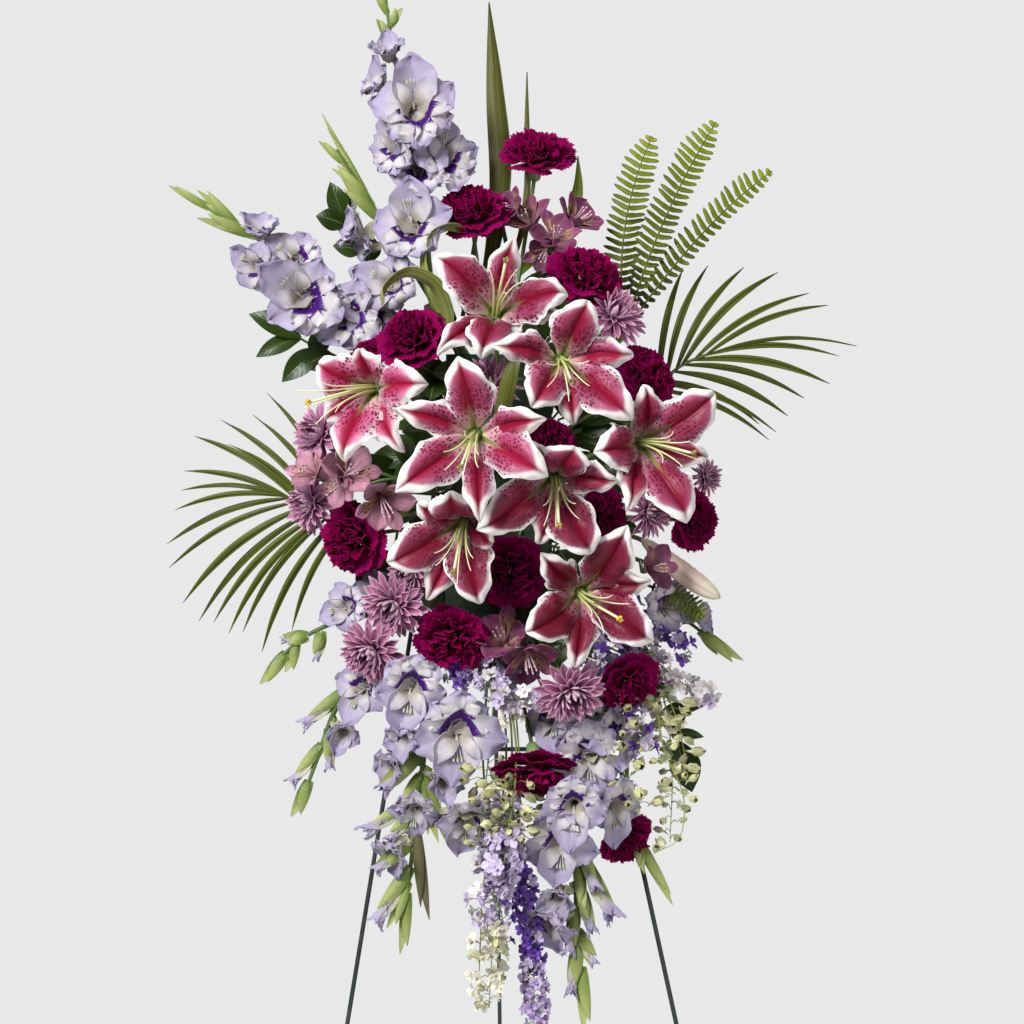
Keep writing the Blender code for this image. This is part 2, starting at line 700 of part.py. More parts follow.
GLADIOLI = {
    "gladiolus_top": dict(
        route=[
            ((436, 300), -0.165), ((424, 210), -0.155), ((404, 110), -0.150),
            ((390, 30), -0.150), ((383, -20), -0.150),
        ],
        florets=[
            ((409, 208), -0.185, 0.070, (-0.2, -1, 0.35)),
            ((441, 150), -0.170, 0.056, (0.7, -1, 0.1)),
            ((392, 140), -0.180, 0.060, (-0.6, -1, 0.2)),
            ((412, 94), -0.185, 0.080, (0.0, -1, 0.3)),
            ((375, 76), -0.160, 0.046, (-0.8, -0.8, 0.3)),
            ((388, 46), -0.165, 0.040, (0.1, -1, 0.6)),
        ],
        buds=[
            ((392, 40), (380, 22), -0.160, 0.012),
            ((390, 30), (398, 10), -0.150, 0.011),
            ((387, 10), (377, -8), -0.155, 0.010),
            ((385, -4), (392, -24), -0.150, 0.009),
            ((384, -14), (381, -38), -0.150, 0.008),
        ],
    ),
    "gladiolus_left": dict(
        route=[
            ((402, 330), -0.150), ((340, 296), -0.150), ((270, 244), -0.155),
            ((215, 212), -0.155), ((190, 197), -0.155),
        ],
        florets=[
            ((382, 284), -0.182, 0.060, (-0.2, -1, 0.4)),
            ((342, 314), -0.175, 0.058, (-0.3, -1, -0.1)),
            ((299, 292), -0.190, 0.080, (-0.1, -1, 0.1)),
            ((292, 253), -0.160, 0.054, (0.3, -1, 0.7)),
            ((252, 264), -0.175, 0.054, (-0.4, -1, -0.2)),
            ((258, 228), -0.160, 0.044, (-0.2, -0.8, 0.8)),
        ],
        buds=[
            ((236, 224), (212, 222), -0.160, 0.014),
            ((228, 220), (222, 242), -0.160, 0.014),
            ((222, 214), (200, 198), -0.155, 0.013),
            ((205, 205), (176, 190), -0.155, 0.011),
            ((245, 232), (244, 248), -0.165, 0.014),
        ],
    ),
    "gladiolus_bud_spike": dict(
        route=[((408, 262), -0.140), ((378, 215), -0.140), ((355, 178), -0.140), ((336, 150), -0.140)],
        florets=[((352, 226), -0.155, 0.042, (-0.6, -0.8, 0.2))],
        buds=[
            ((370, 205), (350, 198), -0.145, 0.014),
            ((362, 192), (364, 168), -0.140, 0.013),
            ((352, 176), (340, 168), -0.140, 0.012),
            ((346, 166), (336, 146), -0.140, 0.010),
        ],
    ),
    "gladioli_low_left": dict(
        route=[((392, 612), -0.195), ((350, 618), -0.190), ((300, 640), -0.185), ((276, 662), -0.185)],
        florets=[((345, 606), -0.205, 0.046, (-0.4, -1, 0.2))],
        buds=[
            ((320, 632), (313, 654), -0.190, 0.013),
            ((306, 638), (290, 634), -0.185, 0.013),
            ((292, 646), (288, 668), -0.185, 0.012),
            ((282, 656), (266, 680), -0.185, 0.012),
        ],
    ),
    "gladiolus_low": dict(
        route=[
            ((424, 690), -0.225), ((424, 750), -0.232), ((416, 820), -0.228),
            ((408, 890), -0.222), ((404, 930), -0.220),
        ],
        florets=[
            ((408, 700), -0.262, 0.070, (-0.2, -1, -0.1)),
            ((458, 742), -0.262, 0.084, (0.15, -1, -0.1)),
            ((404, 742), -0.245, 0.050, (-0.6, -1, -0.2)),
            ((398, 772), -0.242, 0.044, (-0.6, -0.9, -0.4)),
            ((466, 832), -0.245, 0.060, (0.4, -1, -0.5)),
            ((396, 850), -0.236, 0.040, (-0.7, -0.7, -0.6)),
        ],
        buds=[
            ((418, 790), (400, 812), -0.235, 0.016),
            ((417, 800), (380, 836), -0.235, 0.015),
            ((416, 824), (440, 806), -0.230, 0.014),
            ((410, 868), (424, 906), -0.225, 0.016),
            ((408, 885), (392, 922), -0.225, 0.014),
            ((405, 915), (403, 950), -0.220, 0.013),
            ((412, 840), (385, 858), -0.232, 0.015),
        ],
    ),
    "gladiolus_low_right": dict(
        route=[
            ((560, 680), -0.215), ((574, 750), -0.228), ((578, 840), -0.225),
            ((576, 920), -0.220), ((584, 985), -0.215),
        ],
        florets=[
            ((572, 744), -0.244, 0.066, (0.0, -1, -0.1)),
            ((606, 756), -0.245, 0.058, (0.5, -1, 0.1)),
            ((568, 806), -0.262, 0.070, (-0.1, -1, -0.1)),
            ((612, 812), -0.240, 0.056, (0.6, -1, -0.1)),
            ((562, 854), -0.255, 0.062, (-0.1, -1, -0.2)),
            ((556, 906), -0.245, 0.052, (-0.5, -1, -0.4)),
        ],
        buds=[
            ((577, 880), (592, 912), -0.225, 0.014),
            ((576, 905), (570, 938), -0.225, 0.015),
            ((577, 930), (592, 958), -0.220, 0.013),
            ((580, 950), (574, 984), -0.220, 0.013),
            ((584, 980), (587, 1018), -0.215, 0.012),
            ((580, 870), (608, 912), -0.215, 0.010),
        ],
    ),
}

# The lower of the two left spikes, forked from the upper one near the foam
LOW_LEFT_FORK = dict(
    route=[
        ((392, 612), -0.195), ((362, 660), -0.195), ((335, 710), -0.190),
        ((315, 765), -0.185), ((302, 800), -0.185),
    ],
    florets=[((354, 696), -0.215, 0.052, (-0.5, -1, 0.0)), ((341, 738), -0.200, 0.036, (0.4, -1, -0.3))],
    buds=[
        ((338, 700), (308, 722), -0.190, 0.014),
        ((326, 735), (330, 764), -0.190, 0.013),
        ((318, 756), (294, 780), -0.185, 0.013),
        ((308, 782), (298, 812), -0.185, 0.012),
    ],
)


def gladioli():
    for name, spec in GLADIOLI.items():
        shells = spike(**spec)
        if name == "gladioli_low_left":
            shells.extend(spike(forked=True, **LOW_LEFT_FORK))
        body(name, shells, "gladiolus")


ALSTROEMERIA = {
    "alstroemeria_top": dict(
        heads=[
            ((527, 214), -0.155, 0.044, (-0.3, -0.8, 0.6)),
            ((584, 214), -0.165, 0.050, (0.5, -0.7, 0.6)),
            ((560, 232), -0.190, 0.046, (0.1, -1, 0.1)),
            ((544, 252), -0.175, 0.034, (-0.2, -1, -0.4)),
        ],
        joint=((553, 262), -0.160),
    ),
    "alstroemeria_left": dict(
        heads=[
            ((306, 470), -0.235, 0.044, (-0.7, -1, 0.3)),
            ((358, 474), -0.262, 0.052, (0.0, -1, 0.2)),
            ((386, 506), -0.252, 0.054, (0.2, -1, -0.2)),
        ],
        joint=((368, 488), -0.205),
    ),
    "alstroemeria_low": dict(
        heads=[
            ((502, 632), -0.262, 0.054, (0.0, -1, 0.3)),
            ((530, 664), -0.262, 0.052, (0.2, -1, -0.2)),
        ],
        joint=((514, 644), -0.244),
    ),
    "alstroemeria_right": dict(
        heads=[((662, 566), -0.278, 0.044, (0.4, -1, 0.2))],
        joint=((644, 562), -0.225),
    ),
}


def alstroemeria():
    for name, spec in ALSTROEMERIA.items():
        joint = spot(*spec["joint"])
        facing = (joint - HOLDER.translation).normalized()
        shells = [stem(joint, facing, 0.0024, steps=2)]
        for photo, depth, size, look in spec["heads"]:
            rim = spot(photo, depth)
            look = Vector(look).normalized()
            neck = rim - look * (size * 0.35)
            shells.append(tube([joint - facing * 0.005, neck + look * (size * 0.03)], 0.0026))
            shells.append(trumpet(neck - look * (size * 0.05), rim, look, size, 0.46, 0.10, 0.5))
        body(name, shells, "alstroemeria")


# Larkspur


def larkspur(name, route, count, size, colour, seed, bare=0):
    """A spire of small five-petalled flowers set close round a thin stalk."""
    draw = random.Random(seed)
    points = [spot(photo, depth) for photo, depth in route]
    line = rooted(points, STEM, 3)
    shells = [tube(line, [STEM] * (len(line) - 1) + [STEM * 0.65], 3)]
    first = nearest_share(line, points[bare])
    for number in range(count):
        share = first + (1 - first) * (number + 0.3) / count
        root, way = along(line, share)
        side, up = across(way)
        angle = number * 2.4 + draw.uniform(-0.3, 0.3)
        off = side * math.cos(angle) + up * math.sin(angle)
        look = (off + FORWARD * 0.5 + way * 0.2).normalized()
        small = size * (1 - 0.35 * number / count)
        shells.append(star(root, root + off * small * 0.55 + look * 0.004, look, small, draw))
    body(name, shells, colour)


def star(root, rim, facing, size, draw):
    """A small flower: five petals, dished, with its spur rooted in the stalk."""
    side, up = across(facing)
    turn = draw.uniform(0, 1.2)
    ring = []
    for k in range(10):
        angle = math.tau * k / 10 + turn
        wide = size / 2 * (1.0 if k % 2 == 0 else 0.52) * draw.uniform(0.9, 1.05)
        push = (side * math.cos(angle) + up * math.sin(angle)) * wide
        ring.append(rim + push + facing * draw.uniform(0, 0.002))
    return loft([[root], ring, [rim - facing * size * 0.02]])


def larkspurs():
    purple = [
        ((486, 700), -0.215), ((486, 790), -0.222), ((514, 862), -0.234),
        ((527, 905), -0.236), ((533, 955), -0.236), ((534, 1026), -0.232),
    ]
    larkspur("larkspur_purple", purple, 8, 0.033, "larkspur", 3, 2)
    pale = [
        ((512, 712), -0.252), ((516, 745), -0.262), ((506, 850), -0.272),
        ((494, 930), -0.272), ((489, 1008), -0.265),
    ]
    larkspur("larkspur_pale", pale, 10, 0.033, "larkspur_pale", 5)
    right = [((640, 640), -0.195), ((664, 700), -0.185), ((672, 770), -0.180), ((670, 842), -0.180)]
    larkspur("larkspur_right", right, 8, 0.032, "larkspur", 7)


# Foliage


def palm(name, rachis, tips, shares):
    """A fan of narrow leaflets along the last stretch of a stalk."""
    points = [spot(photo, depth) for photo, depth in rachis]
    line = rooted(points, PALM_STALK, 4)
    shells = [tube(line, [PALM_STALK] * 3 + [PALM_STALK * 0.65] * (len(points) - 1), 4)]
    for tip_photo, share in zip(tips, shares):
        root = along(points, share)[0]
        tip = spot(tip_photo, rachis[-1][1] + PALM_BACK)
        span = tip - root
        lift = Vector((0, -0.012, 0.10 * span.length))
        path = [root - span.normalized() * 0.001, root.lerp(tip, 0.48) + lift * 0.5, tip]
        side = span.normalized().cross(Vector((0.15, -1, 0.1))).normalized()
        shells.append(blade(path, [0, PALM_LEAFLET, 0], side, 0.0010))
    body(name, shells, "leaf")


def palms():
    right = [
        (683, 268), (708, 265), (746, 266), (778, 272), (809, 293), (828, 305), (852, 345),
        (839, 356), (830, 384), (804, 398), (788, 416), (776, 432), (768, 441),
    ]
    shares = [1.0, 0.95, 1.0, 0.9, 0.95, 0.85, 0.8, 0.7, 0.6, 0.5, 0.4, 0.25, 0.1]
    rachis = [((640, 404), -0.150), ((672, 376), -0.145), ((690, 352), -0.140)]
    palm("palm_right", rachis, right, shares)
    left = [
        (267, 393), (221, 420), (194, 436), (184, 471), (181, 490), (175, 510), (167, 544),
        (171, 568), (183, 603), (200, 621), (214, 625), (229, 633), (244, 631), (262, 650), (290, 631),
    ]
    shares = [1.0, 1.0, 0.95, 0.95, 0.88, 0.82, 0.75, 0.68, 0.6, 0.52, 0.45, 0.36, 0.28, 0.18, 0.05]
    rachis = [((352, 520), -0.150), ((318, 516), -0.145), ((286, 496), -0.140)]
    palm("palm_left", rachis, left, shares)


def frond(points, count, width, start):
    """One arched blade cut to its rib: pointed leaflets in pairs on a flat rib."""
    stations = [start + (1 - start) * i / count for i in range(count + 1)]
    verts = []
    faces = []
    for i, share in enumerate(stations):
        place, side, face, _ = station(points, share)
        rib = FERN_RIB * (1 - 0.5 * i / count)
        slim = FERN_HALF_THICK
        for x, y in ((-rib, slim), (rib, slim), (rib, -slim), (-rib, -slim)):
            verts.append(place + side * x + face * y)
    for i in range(count):
        a, b = 4 * i, 4 * (i + 1)
        faces.extend([(a, a + 1, b + 1, b), (a + 3, b + 3, b + 2, a + 2)])
        place, side, _, way = station(points, (stations[i] + stations[i + 1]) / 2)
        grow = math.sin(math.pi * min(1, 0.22 + 0.86 * (i + 0.5) / count)) ** 0.6
        for hand, near, far in ((-1, 0, 3), (1, 1, 2)):
            tip = len(verts)
            verts.append(place + side * (hand * width / 2 * grow) + way * (width * 0.16))
            corners = [a + near, b + near, b + far, a + far]
            if hand > 0:
                corners.reverse()
            for one, other in zip(corners, corners[1:] + corners[:1]):
                faces.append((one, other, tip))
    last = 4 * count
    faces.extend([(0, 3, 2, 1), (last, last + 1, last + 2, last + 3)])
    return verts, faces


def station(points, share):
    """A place on a rib, with the ways across it, out of its face and along it."""
    place, way = along(points, share)
    side = way.cross(FORWARD).normalized()
    return place, side, side.cross(way).normalized(), way


def arc(start, end, sag, count):
    """Points on a shallow arch from start to end."""
    points = []
    for i in range(count + 1):
        t = i / count
        points.append(start.lerp(end, t) + sag * (4 * t * (1 - t)))
    return points


def ferns():
    base = spot((626, 330), -0.150)
    shells = [stem(base, Vector((0.35, -0.1, 0.9)).normalized(), 0.0026, steps=2)]
    tips = (
        ((652, 136), -0.120, (-0.016, 0, 0)),
        ((716, 122), -0.130, (-0.010, -0.01, 0)),
        ((772, 171), -0.120, (0.0, -0.01, 0.014)),
    )
    for photo, depth, sag in tips:
        points = arc(base, spot(photo, depth), Vector(sag), 6)
        shells.append(tube([points[0], along(points, 0.165)[0]], 0.0013))
        shells.append(frond(points, 11, 0.042, 0.16))
    body("fern_fronds", shells, "fern")
    base = spot((650, 586), -0.195)
    points = arc(base, spot((704, 618), -0.215), Vector((0, -0.004, 0.006)), 4)
    facing = Vector((0.5, -0.6, -0.2)).normalized()
    shells = [stem(base + facing * 0.002, facing, 0.0018, steps=2), frond(points, 8, 0.026, 0.02)]
    body("fern_small", shells, "fern")


def sword(route, widths, side=Vector((1, 0, 0)), cup=0.12, foot=None):
    points = [spot(photo, depth) for photo, depth in route]
    if foot:
        points.insert(0, foot)
    return blade(points, widths, side, 0.0012, [cup] * len(points))


def swords():
    """Upright sword-shaped leaves at the top, from one clump."""
    root = spot((478, 300), -0.120)
    shells = [stem(root, Vector((0, 0, 1)), 0.0028, steps=2)]
    tall = [
        ((478, 306), -0.120), ((492, 250), -0.116), ((500, 185), -0.115),
        ((495, 90), -0.110), ((489, 2), -0.110),
    ]
    thin = [
        ((479, 306), -0.120), ((516, 250), -0.112), ((527, 190), -0.112),
        ((527, 130), -0.108), ((527, 72), -0.108),
    ]
    wide = [
        ((480, 306), -0.119), ((536, 256), -0.108), ((572, 215), -0.118),
        ((578, 188), -0.116), ((578, 156), -0.116),
    ]
    shells.append(sword(tall, [0.005, 0.018, 0.024, 0.017, 0]))
    shells.append(sword(thin, [0.004, 0.006, 0.007, 0.006, 0]))
    shells.append(sword(wide, [0.004, 0.008, 0.012, 0.014, 0]))
    body("sword_leaves", shells, "leaf")


def loops():
    """Broad blades bent over in loops on the upper left."""
    root = spot((448, 330), -0.185)
    way = Vector((-0.2, -0.4, 0.9)).normalized()
    shells = [stem(root, way, 0.0024, steps=2)]
    outer = [
        ((444, 306), -0.205), ((432, 283), -0.222), ((408, 274), -0.228),
        ((388, 286), -0.222), ((382, 304), -0.205),
    ]
    inner = [
        ((428, 290), -0.180), ((422, 256), -0.185), ((430, 234), -0.192),
        ((448, 226), -0.190), ((466, 232), -0.170),
    ]
    foot = root - way * 0.005
    side = Vector((0.3, -1, 0.5))
    shells.append(sword(outer, [0.006, 0.018, 0.018, 0.017, 0.014, 0.008], side, 0.1, foot))
    shells.append(sword(inner, [0.006, 0.014, 0.016, 0.016, 0.014, 0.006], side, 0.1, foot))
    body("looped_leaves", shells, "leaf")


def leafy(name, twigs):
    """A leafy branch: a thin stalk with pointed oval leaves in turn; more twigs fork from it."""
    shells = []
    for number, (route, leaves) in enumerate(twigs):
        points = [spot(photo, depth) for photo, depth in route]
        line = rooted(points, STEM, 3) if number == 0 else points
        shells.append(tube(line, [STEM] * (len(line) - 1) + [STEM * 0.65], 3))
        for tip_photo, depth, width in leaves:
            shells.append(leaf(line, spot(tip_photo, depth), width))
    body(name, shells, "leaf")


def leaf(line, tip, width):
    share = max(0.1, nearest_share(line, tip) - 0.10)
    root = along(line, share)[0]
    span = tip - root
    side = span.normalized().cross(Vector((0.1, -1, 0.25))).normalized()
    bulge = Vector((0, -0.10, 0.05)) * span.length
    path = [root.lerp(tip, t) + bulge * (4 * t * (1 - t)) for t in (0, 0.30, 0.66, 1)]
    return blade(path, [0, width * 0.86, width * 0.9, 0], side, 0.0012, [0, 0.2, 0.16, 0])


def leafy_twigs():
    left = (
        [((404, 392), -0.135), ((340, 358), -0.130), ((300, 338), -0.128), ((285, 326), -0.128)],
        [
            ((249, 314), -0.130, 0.026), ((256, 357), -0.132, 0.020), ((282, 382), -0.135, 0.026),
            ((312, 332), -0.130, 0.030), ((302, 368), -0.138, 0.030),
        ],
    )
    upper_left = (
        [
            ((402, 391), -0.135), ((392, 320), -0.124), ((368, 262), -0.118),
            ((345, 225), -0.115), ((336, 205), -0.115),
        ],
        [
            ((330, 182), -0.120, 0.024), ((316, 216), -0.120, 0.026), ((352, 188), -0.112, 0.020),
            ((333, 246), -0.125, 0.024), ((372, 236), -0.118, 0.024),
        ],
    )
    leafy("leaves_left", [left, upper_left])
    low_right = (
        [((606, 650), -0.150), ((660, 720), -0.150), ((682, 748), -0.150), ((690, 758), -0.150)],
        [
            ((662, 708), -0.165, 0.018), ((706, 705), -0.155, 0.016),
            ((704, 737), -0.150, 0.012), ((692, 792), -0.155, 0.034),
        ],
    )
    leafy("leaves_low_right", [low_right])
    back = (
        [((420, 470), -0.130), ((400, 520), -0.128), ((392, 570), -0.130)],
        [
            ((330, 470), -0.170, 0.040), ((356, 590), -0.165, 0.040),
            ((402, 628), -0.150, 0.034), ((388, 436), -0.150, 0.034),
        ],
    )
    leafy("leaves_back", [back])


# Easel


def straight_leg(top, foot):
    """A wire leg's two end rings, the lower one cut off flat on the floor."""
    way = (foot - top).normalized()
    side, up = across(way)
    rings = [[], []]
    for k in range(WIRE_SIDES):
        angle = math.tau * (k + 0.5) / WIRE_SIDES
        push = (side * math.cos(angle) + up * math.sin(angle)) * WIRE / 2
        rings[0].append(top + push)
        rings[1].append(foot + push - way * ((foot + push).z / way.z))
    return rings


def easel():
    tops = {"left": (LEG_TOP_LEFT, FOOT_LEFT), "right": (LEG_TOP_RIGHT, FOOT_RIGHT)}
    for hand, (top, foot) in tops.items():
        rings = straight_leg(easel_point(top, APEX_HEIGHT), easel_point(foot, 0.0))
        body("easel_leg_" + hand, [loft(rings)], "wire")
    for level, offset in BAR_OFFSETS.items():
        middle = HOLDER @ Vector((0, FOAM.y / 2 + FIT + PLATE + FIT + WIRE / 2, offset))
        ends = []
        for hand, sign in (("left", -1), ("right", 1)):
            x = leg_x(*tops[hand], middle.z) + sign * (WIRE / 2 + BAR_OVERHANG)
            ends.append(Vector((x, middle.y, middle.z)))
        body("easel_bar_" + level, [tube(ends, WIRE / 2, WIRE_SIDES)], "wire")
    hinge = hinge_centre()
    half = Vector((HINGE_BAR / 2, 0, 0))
    body("easel_hinge_bar", [tube([hinge - half, hinge + half], WIRE / 2, WIRE_SIDES)], "wire")
    back_leg(hinge)


def hinge_centre():
    middle = (LEG_TOP_LEFT + LEG_TOP_RIGHT) / 2
    return easel_point(middle, APEX_HEIGHT - HINGE_DROP, -(WIRE + FIT))


def back_leg(hinge):
    """The folding leg: a wire with an eye round the hinge bar. Its origin is on the bar."""
    foot = Vector((BACK_FOOT_X, APEX_DEPTH + BACK_FOOT_BEHIND, 0))
    way = (foot - hinge).normalized()
    wire = loft(straight_leg(hinge + way * EYE_LOOP, foot))
    leg = body("easel_leg_back", [wire, eye(hinge)], "wire")
    leg.data.transform(Matrix.Translation(-hinge))
    leg.location = hinge


def eye(centre):
    """A closed ring of wire round a bar that runs along X."""
    points = []
    faces = []
    for i in range(EYE_STEPS):
        angle = math.tau * i / EYE_STEPS
        out = Vector((0, math.cos(angle), math.sin(angle)))
        for k in range(EYE_SIDES):
            turn = math.tau * k / EYE_SIDES
            push = out * (EYE_LOOP + WIRE / 2 * math.cos(turn))
            points.append(centre + push + Vector((WIRE / 2 * math.sin(turn), 0, 0)))
    for i in range(EYE_STEPS):
        a = i * EYE_SIDES
        b = (i + 1) % EYE_STEPS * EYE_SIDES
        for k in range(EYE_SIDES):
            n = (k + 1) % EYE_SIDES
            faces.append((a + k, b + k, b + n, a + n))
    return points, faces


# Holder


def holder():
    """The foam's plastic holder: back plate, low walls, two bands and hooks for the easel."""
    half = FOAM / 2
    inner = half + Vector((FIT, FIT, FIT))
    outer = inner + Vector((PLATE, PLATE, PLATE))
    parts = [((-outer.x, inner.y, -outer.z), (outer.x, outer.y, outer.z))]
    low_wall = half.y - TRAY_WALL
    for sign in (-1, 1):
        near, far = sorted((sign * inner.x, sign * outer.x))
        parts.append(((near, low_wall, -outer.z), (far, outer.y - 0.001, outer.z)))
        near, far = sorted((sign * inner.z, sign * outer.z))
        parts.append(((-outer.x + 0.001, low_wall, near), (outer.x - 0.001, outer.y - 0.001, far)))
    for height in (BAND_HEIGHT, -BAND_HEIGHT):
        low, high = height - BAND_WIDTH / 2, height + BAND_WIDTH / 2
        parts.append(((-outer.x, -outer.y, low), (outer.x, -inner.y, high)))
        for sign in (-1, 1):
            near, far = sorted((sign * inner.x, sign * outer.x))
            parts.append(((near, -outer.y, low), (far, low_wall + 0.002, high)))
    bar = BAR_OFFSETS["high"]
    bar_back = outer.y + FIT + WIRE + FIT
    for sign in (-1, 1):
        left = sign * HOOK_X - HOOK_WIDTH / 2
        right = sign * HOOK_X + HOOK_WIDTH / 2
        over = bar + WIRE / 2 + FIT
        parts.append(((left, outer.y - 0.001, over), (right, bar_back + PLATE, over + PLATE)))
        parts.append(((left, bar_back, bar - 0.004), (right, bar_back + PLATE, over + PLATE)))
    body("foam_holder", [box(low, high, HOLDER) for low, high in parts], "plastic")


def foam():
    """The foam block, with a hole for each stem."""
    half = FOAM / 2
    block = body("foam_block", [box(-half, half, HOLDER)], "foam")
    drills = bpy.data.collections.new("drills")
    bpy.context.scene.collection.children.link(drills)
    for number, (points, faces) in enumerate(sockets):
        cutter = body("drill_" + str(number), [(points, faces)], "foam")
        drills.objects.link(cutter)
    cut = block.modifiers.new("stem holes", "BOOLEAN")
    cut.operation = "DIFFERENCE"
    cut.operand_type = "COLLECTION"
    cut.collection = drills
    cut.solver = "MANIFOLD"
    apply(block)
    for cutter in list(drills.objects):
        bpy.data.objects.remove(cutter, do_unlink=True)
    bpy.data.collections.remove(drills)


def main():
    clear_scene()
    easel()
    holder()
    for name, spec in LILIES.items():
        lily(name, **spec)
    lily_bud()
    carnations()
    mums()
    gladioli()
    alstroemeria()
    larkspurs()
    palms()
    ferns()
    swords()
    loops()
    leafy_twigs()
    foam()


main()
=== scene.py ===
"""Looks of a standing funeral spray: petals, leaves, stems, wires and foam, with their finishes.

Metres, +Z up. Flowers are placed by where they show in the photograph and by a depth along Y.
"""

import math
import zlib

import bpy
import numpy as np
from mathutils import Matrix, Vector


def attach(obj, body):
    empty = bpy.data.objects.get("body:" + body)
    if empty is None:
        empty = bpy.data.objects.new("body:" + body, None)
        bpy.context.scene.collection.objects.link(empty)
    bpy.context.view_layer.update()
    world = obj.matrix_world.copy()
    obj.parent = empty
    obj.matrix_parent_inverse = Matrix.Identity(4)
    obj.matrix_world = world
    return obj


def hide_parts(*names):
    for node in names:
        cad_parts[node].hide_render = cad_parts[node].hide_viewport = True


bl_info = {
    "name": "Standing Spray Looks",
    "version": (1, 0, 0),
    "blender": (4, 5, 0),
    "location": "3D View > Sidebar > Spray",
    "description": "Dresses the standing spray: blooms, foliage, wires, foam and the stage",
    "category": "Object",
}

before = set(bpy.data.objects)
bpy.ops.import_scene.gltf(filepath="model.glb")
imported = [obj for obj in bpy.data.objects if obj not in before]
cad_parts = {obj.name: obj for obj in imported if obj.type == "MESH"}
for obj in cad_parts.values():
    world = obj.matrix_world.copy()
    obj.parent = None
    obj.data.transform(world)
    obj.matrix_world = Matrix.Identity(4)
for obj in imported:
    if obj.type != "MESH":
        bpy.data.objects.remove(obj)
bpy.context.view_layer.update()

# The photograph's view
PHOTO_MIDDLE = 512
PIXEL = 0.00105
BLOOM_DEPTH = -0.22
VIEW_DISTANCE = 3.6
EYE_HEIGHT = 1.122
EYE = np.array((0.0, BLOOM_DEPTH - VIEW_DISTANCE, EYE_HEIGHT))

# The foam, the easel's slope and the holes for the stems, as in the solids
FOAM = np.array((0.110, 0.080, 0.300))
LEAN = math.atan2(0.22, 1.45)
FOAM_CENTRE = np.array((-0.015, -0.16895, 1.13485))
FOAM_HEART = 0.012
HEART_REACH = 0.105
WALL_COVER = 0.031
BAND_HEIGHTS = (0.075, -0.075)
BAND_CLEAR = 0.0112
SOCKET = 0.018
SOCKET_RUN = 0.012
STEM = 0.0022
GOLDEN = math.pi * (3 - math.sqrt(5))
UP = np.array((0.0, 0.0, 1.0))
FORWARD = np.array((0.0, -1.0, 0.0))


# Places


def vec(*values):
    return np.array(values, float)


def unit(v):
    v = np.asarray(v, float)
    return v / np.linalg.norm(v, axis=-1, keepdims=True)


def spot(photo, depth):
    """The place that shows at a photograph pixel, at a depth along Y."""
    reach = PIXEL * (1 + (depth - BLOOM_DEPTH) / VIEW_DISTANCE)
    return vec((photo[0] - PHOTO_MIDDLE) * reach, depth, EYE_HEIGHT + (PHOTO_MIDDLE - photo[1]) * reach)


def spots(route):
    return [spot(photo, depth) for photo, depth in route]


def spot_on_plane(photo, point, normal):
    ray = spot(photo, BLOOM_DEPTH) - EYE
    return EYE + ray * (np.dot(point - EYE, normal) / np.dot(ray, normal))


def turn_x(angle):
    c, s = math.cos(angle), math.sin(angle)
    return np.array(((1, 0, 0), (0, c, -s), (0, s, c)))


HOLDER = turn_x(-LEAN)


def across_of(direction):
    """Two unit vectors square to a direction."""
    side = np.cross(direction, UP)
    if np.linalg.norm(side) < 0.2:
        side = np.cross(direction, vec(1, 0, 0))
    side = unit(side)
    return side, unit(np.cross(side, direction))


def turned(side, up, angle):
    """The way at an angle round from one unit vector towards another."""
    return side * math.cos(angle) + up * math.sin(angle)


def outward(place):
    """How a bloom at a place looks: away from the foam, and forward."""
    return unit(unit(place - FOAM_CENTRE) + FORWARD * 0.8)


def foam_entry(place):
    """Where a stem that comes from a place meets the foam's face, and the way out."""
    half = FOAM / 2
    head = HOLDER.T @ (place - FOAM_CENTRE)
    core = vec(0, FOAM_HEART, max(-HEART_REACH, min(HEART_REACH, 0.42 * head[2])))
    way = head - core
    shares = (half - core * np.sign(way)) / np.maximum(np.abs(way), 1e-6)
    face = int(np.argmin(shares))
    entry = core + way * shares[face]
    if face != 1:
        entry[1] = min(entry[1], half[1] - WALL_COVER)
    if face != 2:
        for band in BAND_HEIGHTS:
            if abs(entry[2] - band) < BAND_CLEAR:
                entry[2] = band + math.copysign(BAND_CLEAR, entry[2] - band)
    out = unit(head - entry)
    return HOLDER @ entry + FOAM_CENTRE, HOLDER @ out


def draw_for(name):
    """Random draws that are the same in each run."""
    return np.random.RandomState(zlib.crc32(name.encode()) % (2**31))


# Lines: each gives the places and the ways at shares of its length


def bezier(a, b, c, d):
    def line(t):
        t = np.asarray(t, float)[..., None]
        s = 1 - t
        place = a * s**3 + b * 3 * s * s * t + c * 3 * s * t * t + d * t**3
        way = (b - a) * s * s + (c - b) * 2 * s * t + (d - c) * t * t
        return place, unit(way + 1e-12)

    legs = sum(np.linalg.norm(q - p) for p, q in ((a, b), (b, c), (c, d)))
    line.length = legs * 0.55 + np.linalg.norm(d - a) * 0.45
    return line


